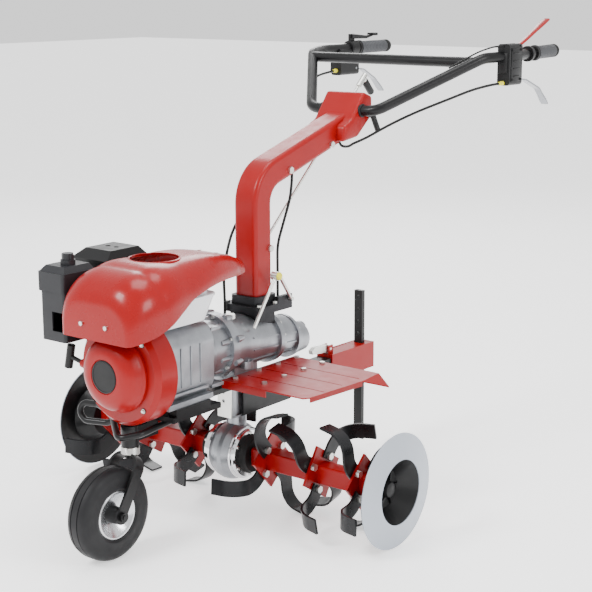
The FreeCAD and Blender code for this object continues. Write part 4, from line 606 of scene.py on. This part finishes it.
def build_case_ribs():
    """Cast ribs on the sides of the crankcase and the long bosses round its clutch adapter."""
    bm = bmesh.new()
    for side in (-1, 1):
        near, far = sorted((side * (CASE_HALF - 1.5), side * (CASE_HALF + 2.4)))
        for y in (-292, -262, -232, -202):
            add_box(bm, (near, y - 2.2, 352), (far, y + 2.2, 438), 1.2)
        add_box(bm, (near, -296, 336), (far, -180, 343), 1.5)
        near, far = sorted((side * 40, side * (CASE_HALF - 8)))
        add_box(bm, (near, -157, 326), (far, -118, 334), 1.5)
        add_box(bm, (near, -157, 452), (far, -128, 460), 1.5)
    for spot in ring_spots(-84, CRANK_Z, 65, 10, FLANGE_START):
        out = Vector((spot.x, 0, spot.z - CRANK_Z)).normalized()
        low = spot + out * -4
        boss = [(0, 0), (0, 6.5), (44, 8.5), (46, 7), (46, 0)]
        add_lathe(bm, low + Vector((0, -26, 0)), (0, 1, 0), boss, 20)
    finish_mesh("case_ribs", bm, "cast_alloy", "chassis", 40.0)


def build_flange_bolts():
    """Bolts round the clutch flange, the gearbox joint, the end cover and the crankcase cover."""
    bm = bmesh.new()
    for spot in ring_spots(-66.5, CRANK_Z, 66, 10, FLANGE_START):
        add_bolt(bm, spot, (0, -1, 0), 4.4, 6)
    for spot in ring_spots(JOINT_Y + 7.2, JOINT_Z, JOINT_R - 4.6, 8, 0.2):
        add_bolt(bm, spot, (0, 1, 0), 3.4, 4.5)
    for spot in ring_spots(BELL_END, COVER_Z, COVER_R - 4.5, 6, 0.5):
        add_bolt(bm, spot, (0, 1, 0), 3.0, 4)
    for x in (-62, 62):
        for z in (338, 395, 452):
            add_bolt(bm, Vector((x, CASE_REAR + 14.2, z)), (0, 1, 0), 4.2, 5.5)
    finish_mesh("flange_bolts", bm, "zinc", "chassis")


def build_flange_shadow():
    """Painted shadow: a dark band where the engine's flange meets the bell stands in for the shaded adapter,
    with the bell's bolt ears round it.
    """
    bm = bmesh.new()
    # Painted shadow: flat black band in the shaded joint between the flange and the bell.
    band = [(-6, 60), (-6, 66.5), (0, 66.8), (0, 60)]
    add_lathe(bm, (0, FLANGE_Y - 10.4, CRANK_Z), (0, 1, 0), band, 64, True)
    finish_mesh("flange_gap", bm, "slot_black", "chassis")
    bm = bmesh.new()
    for spot in ring_spots(FLANGE_Y, CRANK_Z, FLANGE_R - 1.5, 8, FLANGE_START):
        add_lathe(bm, spot + Vector((0, -10, 0)), (0, 1, 0), [(0, 0), (0, 8), (9, 8), (22, 5), (22, 0)], 20)
    finish_mesh("bell_ears", bm, "cast_alloy", "chassis", 40.0)


def build_gearbox_ribs():
    """Cast ribs along the gearbox, a breather on its shoulder and the black plugs at its rear."""
    bm = bmesh.new()
    for angle in (-38, -12, 14, 166, 194, 218):
        turn = math.radians(angle)
        for y0, z0, r0, y1, z1, r1 in GEARBOX_SPANS:
            out = Vector((math.cos(turn), 0, math.sin(turn)))
            along = Vector((-out.z, 0, out.x)) * 1.8
            foot, head = Vector((0, y0, z0)) + out * (r0 - 1.5), Vector((0, y1, z1)) + out * (r1 - 1.5)
            loop = [foot - along, foot + along, foot + along + out * 4, foot - along + out * 4]
            push = head - foot
            near = [bm.verts.new(mm(*p)) for p in loop]
            far = [bm.verts.new(mm(*(p + push))) for p in loop]
            bm.faces.new(near)
            bm.faces.new(list(reversed(far)))
            for k in range(4):
                bm.faces.new((near[(k + 1) % 4], near[k], far[k], far[(k + 1) % 4]))
    add_lathe(bm, (34, -20, 436), (0.45, 0, 1), [(-6, 0), (-6, 9), (6, 9), (7, 8), (7, 0)], 24)
    finish_mesh("gearbox_ribs", bm, "cast_alloy", "chassis", 40.0)
    bm = bmesh.new()
    for z in (372, 332):
        add_lathe(bm, (0, 247, z), (0, 1, 0), [(0, 0), (0, 13.5), (4, 14.5), (6.5, 12), (8, 6), (8, 0)], 32)
    finish_mesh("gearbox_plugs", bm, "black_moulding", "chassis")


# ---- controls -------------------------------------------------------------------------------------
STOP_X = 284.0               # centre plane of the left bracket and of the stop lever
ADJUSTER_PLACES = (((284, 689.0, 941), (-0.18, -1, -0.05)), ((-276, 764.0, 948), (0.05, -1, -0.05)))
HEAD_SIDE = ((343.0, 812.0), (350.0, 850.0), (378.0, 862.0), (428.0, 926.0), (456.0, 916.0),
             (456.0, 862.0), (404.0, 820.0))
HEAD_HALF = 57.0
HEAD_WALL = 3.0
HEAD_ROUNDING = 8.0
BAR_AXIS = (417.0, 882.0)


def build_head():
    """Sheet head with rolled edges, open to the rear, and the bushes that the bar turns in."""
    bm = bmesh.new()
    loop = [(-HEAD_HALF, y, z) for y, z in HEAD_SIDE]
    add_prism(bm, loop, (2 * HEAD_HALF, 0, 0))
    bmesh.ops.recalc_face_normals(bm, faces=bm.faces)
    rear = [face for face in bm.faces if face.normal.y > 0.9 and abs(face.normal.x) < 0.1]
    kept = [edge for edge in bm.edges if not any(face in rear for face in edge.link_faces)]
    bmesh.ops.delete(bm, geom=rear, context="FACES_ONLY")
    bmesh.ops.bevel(bm, geom=kept, offset=HEAD_ROUNDING / 1000, segments=4, affect="EDGES", profile=0.5)
    bmesh.ops.solidify(bm, geom=bm.faces[:], thickness=HEAD_WALL / 1000)
    shell = finish_mesh("head_shell", bm, "red_paint", "chassis", 32.0)
    bm = bmesh.new()
    for side in (-1, 1):
        add_lathe(bm, (side * (HEAD_HALF - 30), *BAR_AXIS), (side, 0, 0),
                  [(0, 13.2), (0, 16), (33, 16), (35, 14.5), (35, 13.2)], 48, True)
    finish_mesh("head_bushes", bm, "black_moulding", "chassis")
    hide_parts("column_head")


def build_cable_leads():
    """Ends of the clutch cables where they turn up through grommets into the head's floor."""
    bm = bmesh.new()
    for side in (-1, 1):
        bends = ((46, 398, 804), (40, 384, 798), (31, 370, 801), (27, 362, 818))
        add_tube(bm, smooth_line([Vector((side * x, y, z)) for x, y, z in bends], 10), 3.2)
    finish_mesh("cable_leads", bm, "cable", "chassis", 60.0)
    bm = bmesh.new()
    for side in (-1, 1):
        collar = [(0, 3.4), (0, 6), (3, 6.8), (6, 6.8), (6, 3.4)]
        add_lathe(bm, (side * 27.5, 363, 811), (0, 0, 1), collar, 24, True)
    finish_mesh("cable_grommets", bm, "rubber", "chassis")


STOP_PLAN = (                # (y, z, half width, half thickness) along the stop lever
    (741, 1016, 4.0, 3.4), (756, 1025, 4.0, 3.2), (772, 1033, 7.0, 2.4), (800, 1044, 7.4, 2.2),
    (836, 1060, 8.0, 2.2), (874, 1077, 10.0, 2.2), (898, 1088, 10.5, 2.2), (903, 1090.2, 8.5, 1.8),
)
STOP_FLAT, STOP_EDGE = 0.72, 0.3          # shares of the blade's width and thickness at its softened edge


def build_stop_lever():
    """Flat red blade, narrower at its root, with softened edges."""
    bm = bmesh.new()
    rings = []
    x = STOP_X
    for k, (y, z, half, thick) in enumerate(STOP_PLAN):
        low, high = STOP_PLAN[max(k - 1, 0)], STOP_PLAN[min(k + 1, len(STOP_PLAN) - 1)]
        ahead = Vector((0, high[0] - low[0], high[1] - low[1])).normalized()
        up = Vector((0, -ahead.z, ahead.y)) * thick
        side = Vector((half, 0, 0))
        middle = Vector((x, y, z))
        flat, edge = side * STOP_FLAT, up * STOP_EDGE
        rings.append([middle - side + edge, middle - flat + up, middle + flat + up, middle + side + edge,
                      middle + side - edge, middle + flat - up, middle - flat - up, middle - side - edge])
    made = skin_rings(bm, rings)
    bm.faces.new(made[0])
    bm.faces.new(list(reversed(made[-1])))
    blade = finish_mesh("stop_blade", bm, "red_moulding", "stop", 40.0)
    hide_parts("stop_lever")


def build_bracket_covers():
    """Ribbed lids with screws on the outer faces of the control brackets, and a plate in front."""
    bm = bmesh.new()
    for x, side, y0, y1, z0, z1 in ((STOP_X, 1, 690, 755, 935, 1035), (-STOP_X, -1, 766, 838, 935, 1004)):
        near, far = sorted((x + side * 16.5, x + side * 19.0))
        add_box(bm, (near, y0 + 7, z0 + 9), (far, y1 - 8, z1 - 9), 1.2)
        for k in range(4):
            z = z0 + 22 + k * (z1 - z0 - 44) / 3
            near, far = sorted((x + side * 18.5, x + side * 20.6))
            add_box(bm, (near, y0 + 16, z - 1.6), (far, y1 - 18, z + 1.6), 0.8)
        for y in (y0 + 12, y1 - 13):
            for z in (z0 + 14, z1 - 14):
                add_socket_screw(bm, Vector((x + side * 18.8, y, z)), (side, 0, 0), 3.2, 2.2)
        add_box(bm, (x - 12, y0 - 2.2, z0 + 30), (x + 12, y0 + 0.5, z1 - 22), 1.0)
    finish_mesh("bracket_lids", bm, "black_moulding", "bar", 40.0)


def build_ferrules():
    """Yellow adjusters where the clutch cables leave their brackets."""
    bm = bmesh.new()
    for place, out in ADJUSTER_PLACES:
        add_lathe(bm, place, out, [(0, 0), (0, 5.5), (7, 5.5), (8, 4.6), (15, 4.4), (16, 3.6), (16, 0)], 24)
    finish_mesh("cable_adjusters", bm, "yellow_cap", "bar")


def build_bar_clamps():
    """Clamp rings on the bar, in front of each grip."""
    bm = bmesh.new()
    start, end = Vector(GRIP_START), Vector(GRIP_END)
    for side in (-1, 1):
        for back, wide, grow in ((-8, 9, 4.5), (-44, 12, 5.5)):
            a = start + (end - start).normalized() * back
            place = Vector((side * a.x, a.y, a.z))
            ahead = Vector((side * (end.x - start.x), end.y - start.y, end.z - start.z))
            add_lathe(bm, place, ahead, [(0, 12.8), (0, 13 + grow), (1, 14 + grow), (wide - 1, 14 + grow),
                                         (wide, 13 + grow), (wide, 12.8)], 40, True)
    finish_mesh("bar_clamps", bm, "black_moulding", "bar")


def build_lever_caps():
    """Yellow cap on the shift lever's knob and a black sleeve on the selector rod's end."""
    bm = bmesh.new()
    add_lathe(bm, (61 + 9.2, 80, 534), (1, 0, 0), [(0, 0), (0, 9), (2, 9), (4, 7.5), (5, 4), (5, 0)], 32)
    finish_mesh("shift_cap", bm, "yellow_cap", "shifter")
    bm = bmesh.new()
    foot, tip = Vector((0, 507, 946)), Vector((0, 537, 914.5))
    length = (tip - foot).length
    profile = [(0, 7.1), (0, 8.4), (4, 8.8), (length - 4, 8.8), (length, 7), (length + 1, 0)]
    add_lathe(bm, foot, tip - foot, profile, 32)
    finish_mesh("selector_sleeve", bm, "black_moulding", "selector")


STEM_Y = -337.0
SPRING_Z = (213.0, 228.0)
COIL_R = 18.6
COIL_TURNS, COIL_STEPS = 6, 24
WIRE_R = 1.7


def build_fork_spring():
    """Coil spring round the fork's stem, between the arch and the socket."""
    bm = bmesh.new()
    points = []
    low, high = SPRING_Z
    for k in range(COIL_TURNS * COIL_STEPS + 1):
        angle = 2 * math.pi * k / COIL_STEPS
        rise = (high - low) * k / (COIL_TURNS * COIL_STEPS)
        points.append((COIL_R * math.cos(angle), STEM_Y + COIL_R * math.sin(angle), low + rise))
    add_tube(bm, points, WIRE_R, 10)
    finish_mesh("fork_spring", bm, "zinc", "fork", 60.0)


DISH_FLOOR_X = 420.5


def build_dish_hubs():
    """Dark hub and spokes inside each plant guard's bowl."""
    bm = bmesh.new()
    for side in (-1, 1):
        hub = Vector((side * DISH_FLOOR_X, 0, AXLE_Z))
        add_lathe(bm, hub, (side, 0, 0), [(-4, 0), (-4, 21), (9, 19), (16, 16), (19, 10), (19, 0)], 48)
        for k in range(6):
            turn = math.pi / 3 * k
            ray = Vector((0, math.cos(turn), math.sin(turn)))
            flat = Vector((0, -ray.z, ray.y)) * 2.2
            low, high = hub + ray * 16, hub + ray * 43
            rise, slope = Vector((side * 9, 0, 0)), Vector((side * 3, 0, 0))
            loop = [low - flat, low + flat, low + flat + rise, low - flat + rise]
            tip = [high - flat, high + flat, high + flat + slope, high - flat + slope]
            made = skin_rings(bm, [loop, tip])
            bm.faces.new(made[0])
            bm.faces.new(list(reversed(made[-1])))
    finish_mesh("dish_hubs", bm, "black_moulding", "rotor", 40.0)


# ---- camera, floor and light ----------------------------------------------------------------------
CAMERA_PLACE = (2015.4, -2337.7, 1184.2)
CAMERA_AIM = (-0.6022, 0.7677, -0.2189)
CAMERA_ROLL = -0.16
CAMERA_LENS = 85.2


def add_camera():
    data = bpy.data.cameras.new("camera")
    data.lens = CAMERA_LENS
    data.sensor_width = 36.0
    camera = bpy.data.objects.new("camera", data)
    bpy.context.collection.objects.link(camera)
    aim = Vector(CAMERA_AIM).normalized()
    turn = aim.to_track_quat("-Z", "Y").to_matrix().to_4x4()
    roll = Matrix.Rotation(math.radians(CAMERA_ROLL), 4, "Z")
    camera.matrix_world = Matrix.Translation(mm(*CAMERA_PLACE)) @ turn @ roll
    bpy.context.scene.camera = camera


def add_softbox(name, place, target, size, power):
    data = bpy.data.lights.new(name, "AREA")
    data.shape = "SQUARE"
    data.size = size
    data.energy = power
    lamp = bpy.data.objects.new(name, data)
    bpy.context.collection.objects.link(lamp)
    aim = Vector(target) - Vector(place)
    lamp.matrix_world = Matrix.Translation(place) @ aim.to_track_quat("-Z", "Y").to_matrix().to_4x4()
    return lamp


def add_stage():
    half = settings().floor_size / 2
    mesh = bpy.data.meshes.new("floor")
    corners = [(-half, -half, 0), (half, -half, 0), (half, half, 0), (-half, half, 0)]
    mesh.from_pydata(corners, [], [(0, 1, 2, 3)])
    floor = bpy.data.objects.new("floor", mesh)
    bpy.context.collection.objects.link(floor)
    mat, bsdf = new_material("floor_white", (0.95, 0.95, 0.95), 0.0, 0.6)
    bsdf.inputs["Emission Color"].default_value = (1.0, 1.0, 1.0, 1.0)
    bsdf.inputs["Emission Strength"].default_value = 0.8
    vary_roughness(mat, bsdf, object_noise(mat, 3.0), 0.55, 0.65)
    mesh.materials.append(mat)
    lamps = [
        add_softbox("key", (-0.9, -3.2, 3.4), (0, 0, 0.5), 1.2, 140),
        add_softbox("side", (3.4, -0.2, 2.2), (0, 0, 0.5), 1.4, 70),
        add_softbox("back", (-2.4, 2.8, 2.6), (0, 0, 0.6), 1.6, 60),
        add_softbox("top", (0.2, 0.2, 4.0), (0, 0, 0.4), 1.8, 80),
    ]
    world = bpy.data.worlds.new("studio")
    world.use_nodes = True
    world.node_tree.nodes["Background"].inputs["Color"].default_value = (1.0, 1.0, 1.0, 1.0)
    world.node_tree.nodes["Background"].inputs["Strength"].default_value = 1.25
    bpy.context.scene.world = world


# ---- operators ------------------------------------------------------------------------------------
class TILLER_OT_materials(bpy.types.Operator):
    """Make the procedural materials and put them on the CAD pieces"""
    bl_idname = "tiller.materials"
    bl_label = "Materials"

    def execute(self, context):
        build_materials()
        paint_nodes()
        return {"FINISHED"}


class TILLER_OT_hood(bpy.types.Operator):
    """Replace the CAD hood by a smooth moulding with a rim round its filler hole"""
    bl_idname = "tiller.hood"
    bl_label = "Hood"

    def execute(self, context):
        build_hood()
        return {"FINISHED"}


class TILLER_OT_starter(bpy.types.Operator):
    """Replace the CAD starter cover by a dome with a bare badge and screws"""
    bl_idname = "tiller.starter"
    bl_label = "Starter cover"

    def execute(self, context):
        build_starter()
        return {"FINISHED"}


class TILLER_OT_wheel(bpy.types.Operator):
    """Replace the CAD tyre and rim by rounded ones with a hub cap"""
    bl_idname = "tiller.wheel"
    bl_label = "Transport wheel"

    def execute(self, context):
        build_wheel()
        return {"FINISHED"}


class TILLER_OT_grips(bpy.types.Operator):
    """Replace the CAD grips by ribbed ones with end caps"""
    bl_idname = "tiller.grips"
    bl_label = "Grips"

    def execute(self, context):
        build_grips()
        return {"FINISHED"}


class TILLER_OT_castings(bpy.types.Operator):
    """Add the ribs, bolts, ears, the dark band of painted shadow and the plugs of the engine and gearbox
    castings
    """
    bl_idname = "tiller.castings"
    bl_label = "Casting details"

    def execute(self, context):
        build_case_ribs()
        build_flange_bolts()
        build_flange_shadow()
        build_gearbox_ribs()
        return {"FINISHED"}


class TILLER_OT_guards(bpy.types.Operator):
    """Add the hubs and spokes in the bowls of the plant guards"""
    bl_idname = "tiller.guards"
    bl_label = "Plant guards"

    def execute(self, context):
        build_dish_hubs()
        return {"FINISHED"}


class TILLER_OT_spring(bpy.types.Operator):
    """Add the coil spring on the stem of the wheel's fork"""
    bl_idname = "tiller.spring"
    bl_label = "Fork spring"

    def execute(self, context):
        build_fork_spring()
        return {"FINISHED"}


class TILLER_OT_head(bpy.types.Operator):
    """Replace the CAD head by a rolled sheet one with bushes, and add the cable ends in its floor"""
    bl_idname = "tiller.head"
    bl_label = "Column head"

    def execute(self, context):
        build_head()
        build_cable_leads()
        return {"FINISHED"}


class TILLER_OT_stop(bpy.types.Operator):
    """Replace the CAD stop lever by one with softened edges"""
    bl_idname = "tiller.stop"
    bl_label = "Stop lever"

    def execute(self, context):
        build_stop_lever()
        return {"FINISHED"}


class TILLER_OT_brackets(bpy.types.Operator):
    """Add the lids, cable adjusters and clamp rings of the control brackets"""
    bl_idname = "tiller.brackets"
    bl_label = "Control brackets"

    def execute(self, context):
        build_bracket_covers()
        build_ferrules()
        build_bar_clamps()
        return {"FINISHED"}


class TILLER_OT_caps(bpy.types.Operator):
    """Add the cap of the shift lever and the sleeve of the selector rod"""
    bl_idname = "tiller.caps"
    bl_label = "Lever caps"

    def execute(self, context):
        build_lever_caps()
        return {"FINISHED"}


class TILLER_OT_stage(bpy.types.Operator):
    """Add the camera, floor and soft light"""
    bl_idname = "tiller.stage"
    bl_label = "Stage"

    def execute(self, context):
        add_camera()
        add_stage()
        return {"FINISHED"}


OPERATORS = (TILLER_OT_materials, TILLER_OT_hood, TILLER_OT_starter, TILLER_OT_wheel, TILLER_OT_grips,
             TILLER_OT_castings, TILLER_OT_guards, TILLER_OT_spring, TILLER_OT_head, TILLER_OT_stop,
             TILLER_OT_brackets, TILLER_OT_caps, TILLER_OT_stage)


class TILLER_PT_panel(bpy.types.Panel):
    """Lists the steps that build the tiller"""
    bl_label = "Tiller"
    bl_idname = "TILLER_PT_panel"
    bl_space_type = "VIEW_3D"
    bl_region_type = "UI"
    bl_category = "Tiller"

    def draw(self, context):
        column = self.layout.column()
        for name in ("red", "black", "grip_ribs", "floor_size"):
            column.prop(context.scene.tiller, name)
        for operator in OPERATORS:
            column.operator(operator.bl_idname)


CLASSES = (TillerSettings, *OPERATORS, TILLER_PT_panel)


def register():
    for cls in CLASSES:
        bpy.utils.register_class(cls)
    bpy.types.Scene.tiller = bpy.props.PointerProperty(type=TillerSettings)


def unregister():
    del bpy.types.Scene.tiller
    for cls in reversed(CLASSES):
        bpy.utils.unregister_class(cls)


def main():
    register()
    for operator in OPERATORS:
        group, name = operator.bl_idname.split(".")
        result = getattr(getattr(bpy.ops, group), name)()
        if result != {"FINISHED"}:
            raise RuntimeError(operator.bl_idname + " did not finish")


if __name__ == "__main__":
    main()
